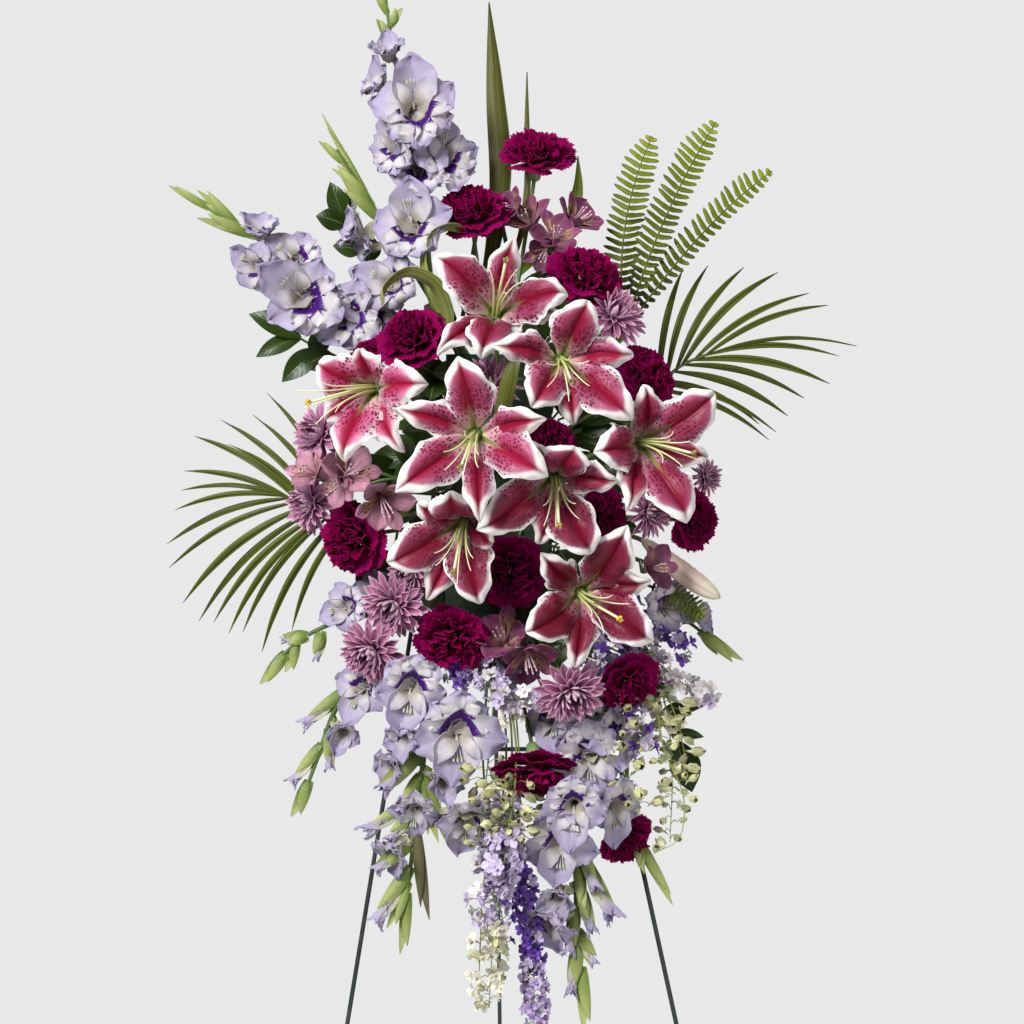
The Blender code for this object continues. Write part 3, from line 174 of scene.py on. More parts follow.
def smooth(points):
    """A smooth line through points."""
    points = np.array(points, float)
    steps = np.linalg.norm(np.diff(points, axis=0), axis=1)
    knots = np.concatenate(([0], np.cumsum(steps)))
    slopes = np.gradient(points, knots, axis=0)

    def line(t):
        at = np.asarray(t, float) * knots[-1]
        i = np.clip(np.searchsorted(knots, at, side="right") - 1, 0, len(steps) - 1)
        h = steps[i][..., None]
        u = ((at - knots[i]) / steps[i])[..., None]
        p, q = points[i], points[i + 1]
        m, n = slopes[i] * h, slopes[i + 1] * h
        place = (2 * u**3 - 3 * u**2 + 1) * p + (u**3 - 2 * u**2 + u) * m
        place = place + (3 * u**2 - 2 * u**3) * q + (u**3 - u**2) * n
        way = (6 * u**2 - 6 * u) * (p - q) + (3 * u**2 - 4 * u + 1) * m + (3 * u**2 - 2 * u) * n
        return place, unit(way + 1e-12)

    line.length = knots[-1]
    return line


def run(line, count, first=0.0):
    """Evenly spaced places on a line, as far as its end."""
    return line(np.linspace(first, 1, count))[0]


def along(points, share):
    """A place on a bent line, by share of its length."""
    points = np.array(points)
    steps = np.linalg.norm(np.diff(points, axis=0), axis=1)
    knots = np.concatenate(([0], np.cumsum(steps)))
    at = share * knots[-1]
    return np.array([np.interp(at, knots, points[:, k]) for k in range(3)])


def nearest_share(points, place):
    shares = np.linspace(0, 1, 61)
    return min(shares, key=lambda share: np.linalg.norm(along(points, share) - place))


def steps_of(*stops):
    """A smooth outline through (share, value) stops, never quite closed."""
    shares, values = np.array(stops, float).T
    slopes = np.gradient(values, shares)

    def outline(t):
        i = np.clip(np.searchsorted(shares, t, side="right") - 1, 0, len(shares) - 2)
        h = shares[i + 1] - shares[i]
        u = (t - shares[i]) / h
        value = (2 * u**3 - 3 * u**2 + 1) * values[i] + (u**3 - 2 * u**2 + u) * h * slopes[i]
        value = value + (3 * u**2 - 2 * u**3) * values[i + 1] + (u**3 - u**2) * h * slopes[i + 1]
        return np.maximum(value, 0.004)

    return outline


# Mesh work


grids = {}


def grid(across, along_count):
    """A flat sheet from one grid primitive: its cross and long shares and its faces."""
    key = (across, along_count)
    if key not in grids:
        bpy.ops.object.select_all(action="DESELECT")
        bpy.ops.mesh.primitive_grid_add(x_subdivisions=across, y_subdivisions=along_count, size=2)
        made = bpy.context.object
        count = len(made.data.vertices)
        places = np.zeros(count * 3)
        made.data.vertices.foreach_get("co", places)
        places = places.reshape(-1, 3)
        faces = np.array([tuple(face.vertices) for face in made.data.polygons])[:, ::-1]
        bpy.data.objects.remove(made, do_unlink=True)
        grids[key] = (places[:, 0], (places[:, 1] + 1) / 2, faces)
    return grids[key]


# A fold sharper than this keeps its edge
CREASE = math.radians(62)


class Work:
    """A piece in the making: thin sheets that get a thickness, and solid forms."""

    def __init__(self, name):
        self.name = name
        self.draw = draw_for(name)
        self.parts = {"sheet": [], "solid": []}

    def add(self, kind, points, faces, spread, look, slot):
        self.parts[kind].append((points, faces, spread, look, slot))

    def lay(
        self, size, line, side, width, outline, lift, slot=0, tint=None, teeth=None, skew=None, marks=None,
        pace=1.0,
    ):
        """Lays a sheet along a line. side is the way across it and outline its width.

        lift raises it off the line, teeth shorten it and skew moves it sideways. marks name
        shares of the line that outline and lift are given for, and pace crowds its rows.
        """
        s, t, faces = grid(*size)
        t = t**pace
        named = t if marks is None else np.interp(t, *marks)
        run = t if teeth is None else t * teeth(s, named)
        place, way = line(np.clip(run, 0, 1.1))
        over = unit(side - way * (way @ side)[:, None])
        face = np.cross(way, over)
        half = width / 2 * outline(named)
        x = s * half
        if skew is not None:
            x = x + skew(s, named)
        points = place + over * x[:, None]
        points = points + face * lift(s, named)[:, None]
        rim = np.minimum((1 - np.abs(s)) * half, (1 - t) * line.length * 1.2)
        spread = np.stack((x, t * line.length, rim), axis=1) * 1000
        tint = self.draw.uniform() if tint is None else tint
        look = np.stack((s, named, np.full(len(s), tint)), axis=1)
        self.add("sheet", points, [faces], spread, look, slot)

    def tube(self, points, radii, sides=8, slot=2, tint=None):
        """A round form along points, closed at both ends."""
        points = np.array(points, float)
        count = len(points)
        radii = np.broadcast_to(np.asarray(radii, float), (count,))
        ways = unit(np.gradient(points, axis=0))
        over, up = across_of(ways[0])
        rings = []
        turns = np.linspace(0, math.tau, sides, endpoint=False)
        for i in range(count):
            over = unit(over - ways[i] * np.dot(over, ways[i]))
            up = np.cross(over, ways[i])
            ring = np.outer(np.cos(turns), over) + np.outer(np.sin(turns), up)
            rings.append(points[i] + ring * radii[i])
        verts = np.concatenate(rings)
        a = np.arange(sides)
        b = (a + 1) % sides
        band = np.stack((a, a + sides, b + sides, b), 1)
        quads = [band + i * sides for i in range(count - 1)]
        caps = np.stack((a, a[::-1] + (count - 1) * sides))
        share = np.repeat(np.linspace(0, 1, count), sides)
        length = np.linalg.norm(np.diff(points, axis=0), axis=1).sum()
        girth = np.repeat(radii, sides) * 1000
        c, s = np.tile(np.cos(turns), count), np.tile(np.sin(turns), count)
        spread = np.stack((c * girth, share * length * 1000, s * girth), 1)
        tint = self.draw.uniform() if tint is None else tint
        look = np.stack((c, share, np.full(len(verts), tint)), 1)
        self.add("solid", verts, [np.concatenate(quads), caps], spread, look, slot)

    def copy(self, other, turn, move, slot, tint):
        """Sets a copy of another piece's work, turned, moved and given its own tint."""
        for kind, parts in other.parts.items():
            for points, faces, spread, look, _ in parts:
                look = look.copy()
                look[:, 2] = tint
                self.add(kind, points @ turn.T + move, faces, spread, look, slot)

    def mesh(self, kind):
        parts = self.parts[kind]
        mesh = bpy.data.meshes.new(self.name + "_" + kind)
        start = 0
        flat, totals, slots = [], [], []
        for points, faces, _, _, slot in parts:
            for block in faces:
                flat.append((block + start).ravel())
                totals.append(np.full(len(block), block.shape[1]))
                slots.append(np.full(len(block), slot))
            start += len(points)
        flat = np.concatenate(flat).astype(np.int32)
        totals = np.concatenate(totals).astype(np.int32)
        places = np.concatenate([part[0] for part in parts]).astype(np.float32)
        mesh.vertices.add(start)
        mesh.vertices.foreach_set("co", places.ravel())
        mesh.loops.add(len(flat))
        mesh.loops.foreach_set("vertex_index", flat)
        mesh.polygons.add(len(totals))
        starts = np.concatenate(([0], np.cumsum(totals)[:-1])).astype(np.int32)
        mesh.polygons.foreach_set("loop_start", starts)
        mesh.polygons.foreach_set("loop_total", totals)
        mesh.polygons.foreach_set("material_index", np.concatenate(slots).astype(np.int32))
        mesh.update(calc_edges=True)
        for label, column in (("spread", 2), ("look", 3)):
            layer = mesh.attributes.new(label, "FLOAT_VECTOR", "POINT")
            values = np.concatenate([part[column] for part in parts]).astype(np.float32)
            layer.data.foreach_set("vector", values.ravel())
        return mesh

    def finish(self, node, materials, slot, thick=0.0008):
        """Makes the object: sheets get their thickness, and all is joined and rides on the stand."""
        made = []
        for kind in ("sheet", "solid"):
            if not self.parts[kind]:
                continue
            thing = bpy.data.objects.new(self.name + "_" + kind, self.mesh(kind))
            bpy.context.scene.collection.objects.link(thing)
            for name in materials:
                thing.data.materials.append(bpy.data.materials[name])
            bpy.ops.object.select_all(action="DESELECT")
            thing.select_set(True)
            bpy.context.view_layer.objects.active = thing
            if kind == "sheet":
                wall = thing.modifiers.new("thickness", "SOLIDIFY")
                wall.thickness = thick
                wall.offset = 0
                wall.material_offset = 1
                wall.material_offset_rim = 0
                bpy.ops.object.modifier_apply(modifier=wall.name)
            made.append(thing)
        for thing in made:
            thing.select_set(True)
        bpy.context.view_layer.objects.active = made[0]
        if len(made) > 1:
            bpy.ops.object.join()
        piece = made[0]
        piece.name = self.name
        bpy.ops.object.shade_smooth_by_angle(angle=CREASE)
        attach(piece, "stand")
        if node:
            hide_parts(node)


# Finishes: helpers for shader nodes


class Shade:
    """Builds one material's nodes, or one node group's."""

    def __init__(self, tree):
        self.tree = tree

    def node(self, kind, given=(), **settings):
        """A node with its settings, and what its sockets are given, by name or number."""
        made = self.tree.nodes.new(kind)
        for key, value in settings.items():
            setattr(made, key, value)
        for key, value in dict(given).items():
            self.put(made.inputs[key], value)
        return made

    def put(self, socket, value):
        if isinstance(value, bpy.types.NodeSocket):
            self.tree.links.new(value, socket)
        elif hasattr(value, "__len__") and len(value) < len(socket.default_value):
            socket.default_value = (*value, 1)
        else:
            socket.default_value = value

    def attribute(self, name):
        return self.node("ShaderNodeAttribute", attribute_name=name).outputs["Vector"]

    def split(self, vector):
        return self.node("ShaderNodeSeparateXYZ", {0: vector}).outputs

    def look(self):
        """A sheet's share across, from -1 to 1, its share along and its tint."""
        return self.split(self.attribute("look"))

    def spread(self):
        """Millimetres across a sheet, along it and in from its rim."""
        return self.split(self.attribute("spread"))

    def maths(self, operation, a, b=0.0):
        return self.node("ShaderNodeMath", enumerate((a, b, 0.0)), operation=operation).outputs[0]

    def plus(self, a, b):
        return self.maths("ADD", a, b)

    def minus(self, a, b):
        return self.maths("SUBTRACT", a, b)

    def times(self, a, b):
        return self.maths("MULTIPLY", a, b)

    def unsigned(self, a):
        return self.maths("ABSOLUTE", a)

    def span(self, value, low, high, to_low=0.0, to_high=1.0, soft=True):
        """Sends the range from low to high to another, and stops at its ends."""
        kind = "SMOOTHSTEP" if soft else "LINEAR"
        given = enumerate((value, low, high, to_low, to_high))
        return self.node("ShaderNodeMapRange", given, interpolation_type=kind).outputs[0]

    def mix(self, share, a, b):
        return self.node("ShaderNodeMix", {0: share, 6: a, 7: b}, data_type="RGBA").outputs[2]

    def over(self, colour, other, share, most):
        """Lays another colour over one, where share says and at most so much."""
        return self.mix(self.times(share, most), colour, other)

    def ramp(self, share, stops):
        made = self.node("ShaderNodeValToRGB", {0: share})
        made.color_ramp.interpolation = "EASE"
        elements = made.color_ramp.elements
        while len(elements) < len(stops):
            elements.new(0.5)
        for element, (at, colour) in zip(elements, stops):
            element.position = at
            element.color = (*colour, 1)
        return made.outputs[0]

    def noise(self, scale, detail=2.0, vector=None, stretch=(1, 1, 1)):
        given = {"Scale": scale, "Detail": detail, "Vector": self.mapped(vector, stretch)}
        return self.node("ShaderNodeTexNoise", given).outputs[0]

    def cells(self, vector, scale, dimensions="2D", **given):
        """Cells round scattered points, for a petal's spots and the foam's pores."""
        given = {"Vector": vector, "Scale": scale, **given}
        return self.node("ShaderNodeTexVoronoi", given, voronoi_dimensions=dimensions)

    def mapped(self, vector, stretch=(1, 1, 1)):
        if vector is None:
            vector = self.node("ShaderNodeTexCoord").outputs["Object"]
        return self.node("ShaderNodeMapping", {"Vector": vector, "Scale": stretch}).outputs[0]

    def bump(self, height, strength, distance):
        given = {"Strength": strength, "Distance": distance, "Height": height}
        return self.node("ShaderNodeBump", given).outputs[0]

    def relief(self, colour, height, strength, distance):
        """A colour with its fine relief."""
        return {"Base Color": colour, "Normal": self.bump(height, strength, distance)}

    def group(self, name, *values):
        made = self.node("ShaderNodeGroup", node_tree=bpy.data.node_groups[name])
        for socket, value in zip(made.inputs, values):
            self.put(socket, value)
        return made.outputs

    def mottle(self, colour, amount, scale):
        return self.group("mottle", colour, amount, scale)["Colour"]

    def veins(self, count, width):
        return self.group("veins", count, width)


def new_group(name, takes, gives):
    tree = bpy.data.node_groups.new(name, "ShaderNodeTree")
    for way, sockets in (("INPUT", takes), ("OUTPUT", gives)):
        for label, kind in sockets.items():
            tree.interface.new_socket(label, in_out=way, socket_type="NodeSocket" + kind)
    shade = Shade(tree)
    return shade, shade.node("NodeGroupInput").outputs, shade.node("NodeGroupOutput").inputs


def finish_material(name, paint, roughness=0.5, specular=0.5, **sockets):
    """A material whose paint function gives its colour, and may give roughness and normal."""
    material = bpy.data.materials.new(name)
    material.use_nodes = True
    shade = Shade(material.node_tree)
    shader = material.node_tree.nodes["Principled BSDF"]
    shader.inputs["Roughness"].default_value = roughness
    shader.inputs["Specular IOR Level"].default_value = specular
    for key, value in sockets.items():
        shader.inputs[key.replace("_", " ")].default_value = value
    for key, value in paint(shade).items():
        shade.put(shader.inputs[key], value)
    return material


def looks():
    return bpy.context.scene.spray_looks


def make_groups():
    """Shared effects: veins that run along a blade, and a slow change of tone."""
    takes, gives = {"Count": "Float", "Width": "Float"}, {"Line": "Float", "Height": "Float"}
    shade, takes, gives = new_group("veins", takes, gives)
    wobble = shade.noise(9, 2, shade.attribute("look"), (1, 3, 1))
    swing = shade.plus(shade.times(shade.look()[0], takes[0]), shade.times(wobble, 1.2))
    wave = shade.unsigned(shade.maths("SINE", shade.times(swing, math.pi)))
    shade.put(gives[0], shade.span(wave, takes[1], 0.0))
    shade.put(gives[1], wave)
    takes = {"Colour": "Color", "Amount": "Float", "Scale": "Float"}
    shade, takes, gives = new_group("mottle", takes, {"Colour": "Color"})
    given = {"Vector": shade.node("ShaderNodeTexCoord").outputs["Object"], "Scale": takes[2]}
    drift = shade.node("ShaderNodeTexNoise", given).outputs[0]
    tone = shade.plus(shade.times(shade.look()[2], 0.55), shade.times(drift, 0.9))
    value = shade.plus(shade.times(shade.minus(tone, 0.72), takes[1]), 1.0)
    given = {"Color": takes[0], "Value": value}
    shade.put(gives[0], shade.node("ShaderNodeHueSaturation", given).outputs[0])


# Lilies

LEAN_OUTLINE = steps_of(
    (0, 0.16), (0.12, 0.32), (0.25, 0.76), (0.36, 0.97), (0.45, 1.0), (0.57, 0.92), (0.69, 0.75),
    (0.79, 0.54), (0.88, 0.31), (0.945, 0.14), (0.98, 0.05), (1, 0.012),
)
FULL_OUTLINE = steps_of(
    (0, 0.16), (0.14, 0.28), (0.28, 0.64), (0.42, 0.93), (0.54, 1.0), (0.66, 0.95), (0.77, 0.77),
    (0.86, 0.51), (0.93, 0.25), (0.975, 0.09), (1, 0.012),
)
SEPAL_OUTLINE = steps_of(
    (0, 0.20), (0.15, 0.36), (0.32, 0.76), (0.46, 1.0), (0.60, 0.91), (0.74, 0.66), (0.86, 0.37),
    (0.94, 0.16), (0.98, 0.055), (1, 0.012),
)
LILY_LIFT = 0.036

# How dark the field of each lily is, from 0 to 1
LILY_TONES = {
    "lily_top": 0.62, "lily_upper_right": 0.50, "lily_left": 0.10, "lily_middle": 0.40,
    "lily_centre_low": 0.72, "lily_right": 0.70, "lily_low_left": 0.66, "lily_low_right": 0.95,
}
GOLDEN_STIGMAS = {"lily_left": 0.9, "lily_low_right": 1.0, "lily_centre_low": 0.5}
LILIES = {
    "lily_top": [
        (496, 312), -0.270, (0.0, -1.0, 0.42), (506, 262),
        [
            (430, 254, 1, 0.0), (515, 234, 0, 0.0), (572, 293, 1, 0.0), (564, 318, 0, 0.012),
            (480, 362, 1, 0.010), (434, 355, 0, 0.016),
        ],
    ],
    "lily_upper_right": [
        (561, 360), -0.318, (0.10, -1.0, 0.02), (571, 380),
        [
            (590, 296, 1, 0.0), (639, 355, 0, 0.018), (636, 422, 1, 0.0), (574, 430, 0, 0.024),
            (529, 411, 1, 0.004), (489, 345, 0, 0.010),
        ],
    ],
    "lily_left": [
        (372, 388), -0.285, (-0.35, -1.0, 0.05), (310, 402),
        [
            (314, 362, 1, 0.0), (360, 345, 0, 0.006), (431, 384, 1, 0.006), (404, 455, 0, 0.012),
            (342, 466, 1, 0.006), (323, 424, 0, 0.018),
        ],
    ],
    "lily_middle": [
        (475, 434), -0.360, (-0.04, -1.0, 0.02), (461, 466),
        [
            (457, 352, 1, 0.0), (549, 418, 0, 0.006), (551, 478, 1, 0.0), (480, 526, 0, 0.010),
            (392, 494, 1, 0.0), (392, 407, 0, 0.012),
        ],
    ],
    "lily_centre_low": [
        (555, 478), -0.322, (0.06, -1.0, -0.22), (559, 524),
        [
            (578, 443, 1, 0.0), (622, 480, 0, 0.016), (594, 558, 1, 0.0), (537, 549, 0, 0.018),
            (474, 533, 1, 0.0), (516, 436, 0, 0.018),
        ],
    ],
    "lily_right": [
        (642, 442), -0.300, (0.28, -1.0, 0.04), (692, 453),
        [
            (719, 390, 1, 0.0), (713, 459, 0, 0.012), (690, 526, 1, 0.0), (627, 514, 0, 0.010),
            (592, 453, 1, -0.004), (644, 380, 0, 0.014),
        ],
    ],
    "lily_low_left": [
        (464, 522), -0.290, (-0.10, -1.0, -0.28), (454, 570),
        [
            (450, 488, 1, -0.004), (413, 501, 0, 0.014), (383, 565, 1, 0.0), (425, 605, 0, 0.014),
            (481, 609, 1, 0.0), (497, 545, 0, 0.018),
        ],
    ],
    "lily_low_right": [
        (581, 594), -0.288, (0.02, -1.0, -0.16), (618, 618),
        [
            (630, 523, 1, 0.004), (655, 580, 0, 0.014), (657, 644, 1, 0.0), (574, 672, 0, 0.010),
            (522, 635, 1, 0.0), (538, 550, 0, 0.016),
        ],
    ],
}


def lily_face(shade):
    look = looks()
    _, t, tint = shade.look()
    x, _, rim = shade.spread()
    near = shade.unsigned(x)
    tone = shade.maths("FRACT", shade.times(tint, 2.0))
    wander = shade.noise(0.12, 3, shade.attribute("spread"), (1, 0.5, 0))
    inside = shade.plus(rim, shade.times(shade.minus(wander, 0.5), 4.0))
    inside = shade.times(inside, shade.span(tone, 0.0, 1.0, 0.74, 1.15, soft=False))
    inside = shade.minus(inside, shade.span(t, 0.66, 0.97, 0.0, 11.0))
    pink = shade.mix(tone, look.lily_pink, look.lily_rose)
    field = shade.mix(tone, look.lily_crimson, look.lily_wine)
    deep = shade.mix(tone, look.lily_stripe, look.lily_wine)
    colour = shade.mix(shade.span(inside, 0.4, 6.0), look.lily_rim, pink)
    colour = shade.mix(shade.span(inside, 3.8, 13.0), colour, field)
    broad = shade.times(shade.span(near, 13.0, 2.0), shade.span(t, 0.94, 0.66))
    broad = shade.times(broad, shade.span(t, 0.22, 0.50, 0.25, 1.0))
    colour = shade.over(colour, deep, broad, 0.75)
    middle = shade.times(shade.span(near, 4.5, 0.3), shade.span(t, 0.99, 0.80))
    colour = shade.over(colour, deep, middle, 0.85)
    streak = shade.veins(9.0, 0.35)["Line"]
    colour = shade.mix(shade.times(streak, shade.span(inside, 1.0, 8.0, 0.05, 0.24)), colour, deep)
    haze = shade.times(shade.span(t, 0.42, 0.25), shade.span(tone, 0.0, 1.0, 0.85, 0.25, soft=False))
    colour = shade.mix(haze, colour, (0.66, 0.42, 0.46))
    cells = shade.cells(shade.mapped(shade.attribute("spread"), (1, 0.85, 0)), 0.29, Randomness=0.85)
    pick = shade.split(cells.outputs["Color"])[0]
    dot_size = shade.plus(shade.times(pick, 0.22), 0.18)
    dots = shade.span(shade.minus(cells.outputs["Distance"], dot_size), 0.035, -0.035)
    zone = shade.times(shade.span(inside, 1.0, 2.6), shade.span(t, 0.70, 0.58))
    zone = shade.times(zone, shade.span(t, 0.20, 0.28))
    zone = shade.times(zone, shade.span(near, 1.6, 3.2))
    dots = shade.times(dots, zone)
    spots_tone = shade.mix(tone, look.lily_spots, shade.mix(0.45, look.lily_spots, (0.0, 0.0, 0.0)))
    colour = shade.over(colour, spots_tone, dots, 0.92)
    colour = shade.mix(shade.span(t, 0.22, 0.12), colour, (0.58, 0.60, 0.28))
    tongue = shade.span(shade.plus(near, shade.times(t, 9.5)), 4.9, 3.9)
    tongue = shade.times(tongue, shade.maths("GREATER_THAN", tint, 0.5))
    colour = shade.over(colour, (0.17, 0.22, 0.035), tongue, 0.9)
    ribs = shade.veins(7.0, 0.5)["Height"]
    height = shade.plus(shade.times(ribs, 0.4), dots)
    return shade.relief(colour, height, 0.45, 0.0008)


def lily_back(shade):
    look = looks()
    x, _, rim = shade.spread()
    t = shade.look()[1]
    field = shade.span(rim, 2.0, 12.0)
    colour = shade.mix(field, look.lily_rim, (0.60, 0.30, 0.36))
    midrib = shade.span(shade.unsigned(x), 3.6, 0.6)
    colour = shade.over(colour, (0.42, 0.40, 0.18), midrib, 0.6)
    colour = shade.mix(shade.span(t, 0.22, 0.04), colour, (0.32, 0.42, 0.12))
    ribs = shade.veins(7.0, 0.5)["Height"]
    return shade.relief(colour, ribs, 0.3, 0.0006)


def filament_paint(shade):
    t = shade.look()[1]
    colour = shade.ramp(t, ((0.0, (0.33, 0.42, 0.10)), (0.35, (0.55, 0.58, 0.22)), (1.0, (0.78, 0.76, 0.50))))
    return {"Base Color": colour}


def stigma_paint(shade):
    tint = shade.look()[2]
    colour = shade.mix(tint, (0.16, 0.20, 0.07), (0.58, 0.34, 0.03))
    colour = shade.mottle(colour, 0.8, 300.0)
    return {"Base Color": colour}


def stem_paint(shade):
    colour = shade.mottle((0.070, 0.115, 0.022), 0.8, 30.0)
    grain = shade.noise(6, 3, shade.attribute("spread"), (1.5, 0.05, 1))
    return shade.relief(colour, grain, 0.25, 0.0004)


def lily_petal(work, throat, facing, tip_photo, wide, curl, tone):
    draw = work.draw
    tip = spot_on_plane(tip_photo, throat + facing * (LILY_LIFT - curl), facing)
    reach = tip - throat
    flat = reach - facing * np.dot(reach, facing)
    long = np.linalg.norm(flat)
    ray = flat / long
    rise = 0.005 if wide else -0.008
    start = throat - facing * 0.016 + ray * 0.002
    low = throat + facing * (0.010 + rise) + ray * (0.20 * long)
    high = throat + facing * (LILY_LIFT + 0.014 + rise) + ray * (0.62 * long)
    line = bezier(start, low, high, tip)
    line.length = long * 1.12
    look = looks()
    width = look.lily_petal_width if wide else look.lily_sepal_width
    phase = draw.uniform(0, math.tau, 8)
    waves = draw.uniform(2.0, 3.2, 2)
    swing = draw.uniform(-0.005, 0.005)

    def lift(s, t):
        edge = np.abs(s)
        hand = (s > 0).astype(int)
        grow = np.sin(math.pi * np.clip(t * 1.02 - 0.06, 0, 1)) ** 0.7
        wave = np.sin(waves[hand] * math.tau * t + phase[hand])
        wave = wave + 0.5 * np.sin(2.3 * waves[hand] * math.tau * t + phase[hand + 2])
        wave = wave + 0.35 * np.sin(3.7 * waves[hand] * math.tau * t + phase[hand + 5]) * edge**2
        ruffle = 0.0032 * edge**2.2 * wave * grow
        crown = 0.0042 * np.sin(math.pi * edge**1.15) * grow - 0.0019 * np.exp(-((s / 0.13) ** 2)) * grow
        roll = -0.0045 * edge**3 * np.sin(math.pi * np.clip(t, 0, 1)) ** 1.5
        reflex = -0.009 * np.clip((t - 0.80) / 0.20, 0, 1) ** 2
        return ruffle + crown + roll + reflex

    def skew(s, t):
        bow = swing * np.sin(math.pi * t) ** 2
        return bow + 0.0022 * np.abs(s) ** 3 * np.sin(
            3.1 * math.tau * t + phase[4] + 2 * s
        ) * np.sin(math.pi * t)

    full = draw.uniform(0, 1)
    outline = (lambda t: full * FULL_OUTLINE(t) + (1 - full) * LEAN_OUTLINE(t)) if wide else SEPAL_OUTLINE
    tone = min(max(tone + draw.uniform(-0.12, 0.12), 0.02), 0.98) / 2
    work.lay(
        (20, 34) if wide else (16, 30), line, np.cross(facing, ray), width, outline, lift,
        tint=tone + 0.5 * wide, skew=skew,
    )


def make_lily(name, photo, depth, facing, pistil, tips):
    work = Work(name + "_bloom")
    throat = spot(photo, depth)
    facing = unit(vec(*facing))
    for u, v, wide, curl in tips:
        lily_petal(work, throat, facing, (u, v), wide, curl, LILY_TONES[name])
    draw = work.draw
    stigma = spot_on_plane(pistil, throat + facing * 0.062, facing)
    lean = stigma - throat
    side, up = across_of(facing)
    for k in range(6):
        angle = math.tau * (k + 0.5) / 6 + draw.uniform(-0.15, 0.15)
        ring = turned(side, up, angle)
        end = throat + lean * draw.uniform(0.66, 0.92) + ring * draw.uniform(0.016, 0.026)
        line = bezier(
            throat - facing * 0.010 + ring * 0.003, throat + facing * 0.020 + ring * 0.004,
            throat + lean * 0.60 + ring * 0.006, end,
        )
        shares = np.linspace(0, 1, 12)
        work.tube(line(shares)[0], np.interp(shares, (0, 0.5, 1), (0.0013, 0.0010, 0.0005)), 6, slot=2)
    line = bezier(throat - facing * 0.010, throat + facing * 0.030, throat + lean * 0.7, stigma)
    shares = np.linspace(0, 1, 14)
    work.tube(line(shares)[0], np.interp(shares, (0, 0.3, 1), (0.0030, 0.0015, 0.0014)), 8, slot=2)
    way = unit(lean)
    across, over = across_of(way)
    for k in range(3):
        lobe = turned(across, over, k * math.tau / 3)
        knob = [
            stigma - way * 0.002, stigma + way * 0.001 + lobe * 0.0012, stigma + way * 0.004 + lobe * 0.0024,
            stigma + way * 0.0052 + lobe * 0.0022,
        ]
        work.tube(knob, (0.0007, 0.0017, 0.0018, 0.0007), 8, slot=3, tint=GOLDEN_STIGMAS.get(name, 0.25))
    back = [throat - facing * x for x in (0.040, 0.032, 0.022, 0.012, 0.004)]
    work.tube(back, (0.0030, 0.0052, 0.0072, 0.0078, 0.0060), 12, slot=4)
    add_stem(work, throat - facing * 0.034, facing, 0.0028, slot=4)
    materials = ("lily_petal", "lily_petal_back", "lily_filament", "lily_stigma", "stem")
    work.finish(name, materials, "lily", 0.0011)


def add_stem(work, base, facing, radius=STEM, slot=2):
    """A cut stem from the back of a bloom into its hole in the foam."""
    entry, out = foam_entry(base - facing * 0.010)
    inner = entry - out * SOCKET
    leave = entry + out * min(SOCKET_RUN, 0.4 * np.linalg.norm(base - entry))
    bend = min(0.35 * np.linalg.norm(base - leave), 0.030)
    line = bezier(leave, leave + out * bend, base - facing * bend, base)
    work.tube([inner, *run(line, 9)], radius, 8, slot)


def rooted(points):
    """A stalk's line: a straight run out of its hole in the foam, then the points."""
    entry, out = foam_entry(points[0])
    return [entry - out * SOCKET, entry + out * SOCKET_RUN] + list(points)


def fork_of(places):
    middle = sum(places) / len(places)
    entry, out = foam_entry(middle)
    end = entry + out * min(0.05, np.linalg.norm(middle - entry) * 0.35)
    return entry - out * SOCKET, end, out


def add_twig(work, end, out, base, facing, slot=2):
    reach = np.linalg.norm(base - end) * 0.35
    line = bezier(end, end + out * reach, base - facing * reach, base)
    work.tube([end - out * 0.004, *run(line, 8, 0.08)], STEM * 0.8, 8, slot)


def make_lilies():
    finish_material("lily_petal", lily_face, 0.40, 0.22)
    finish_material("lily_petal_back", lily_back, 0.45, 0.3)
    finish_material("lily_filament", filament_paint, 0.4)
    finish_material("lily_stigma", stigma_paint, 0.35)
    for name, spec in LILIES.items():
        make_lily(name, *spec)


# Lily bud


def bud_paint(shade):
    s, t, _ = shade.look()
    colour = shade.ramp(
        t,
        (
            (0.0, (0.22, 0.30, 0.09)), (0.22, (0.36, 0.21, 0.17)), (0.6, (0.42, 0.21, 0.20)),
            (0.86, (0.62, 0.53, 0.40)), (1.0, (0.40, 0.45, 0.16)),
        ),
    )
    # Painted highlight: the side of the bud towards the front and left is made paler
    colour = shade.mix(shade.span(s, -0.3, 0.8, 0.0, 0.6), colour, (0.66, 0.58, 0.46))
    x, _, z = shade.spread()
    round_angle = shade.maths("ARCTAN2", z, x)
    seams = shade.unsigned(shade.maths("SINE", shade.times(round_angle, 1.5)))
    colour = shade.over(colour, (0.40, 0.20, 0.22), shade.span(seams, 0.25, 0.0), 0.5)
    return shade.relief(colour, seams, 0.4, 0.0008)


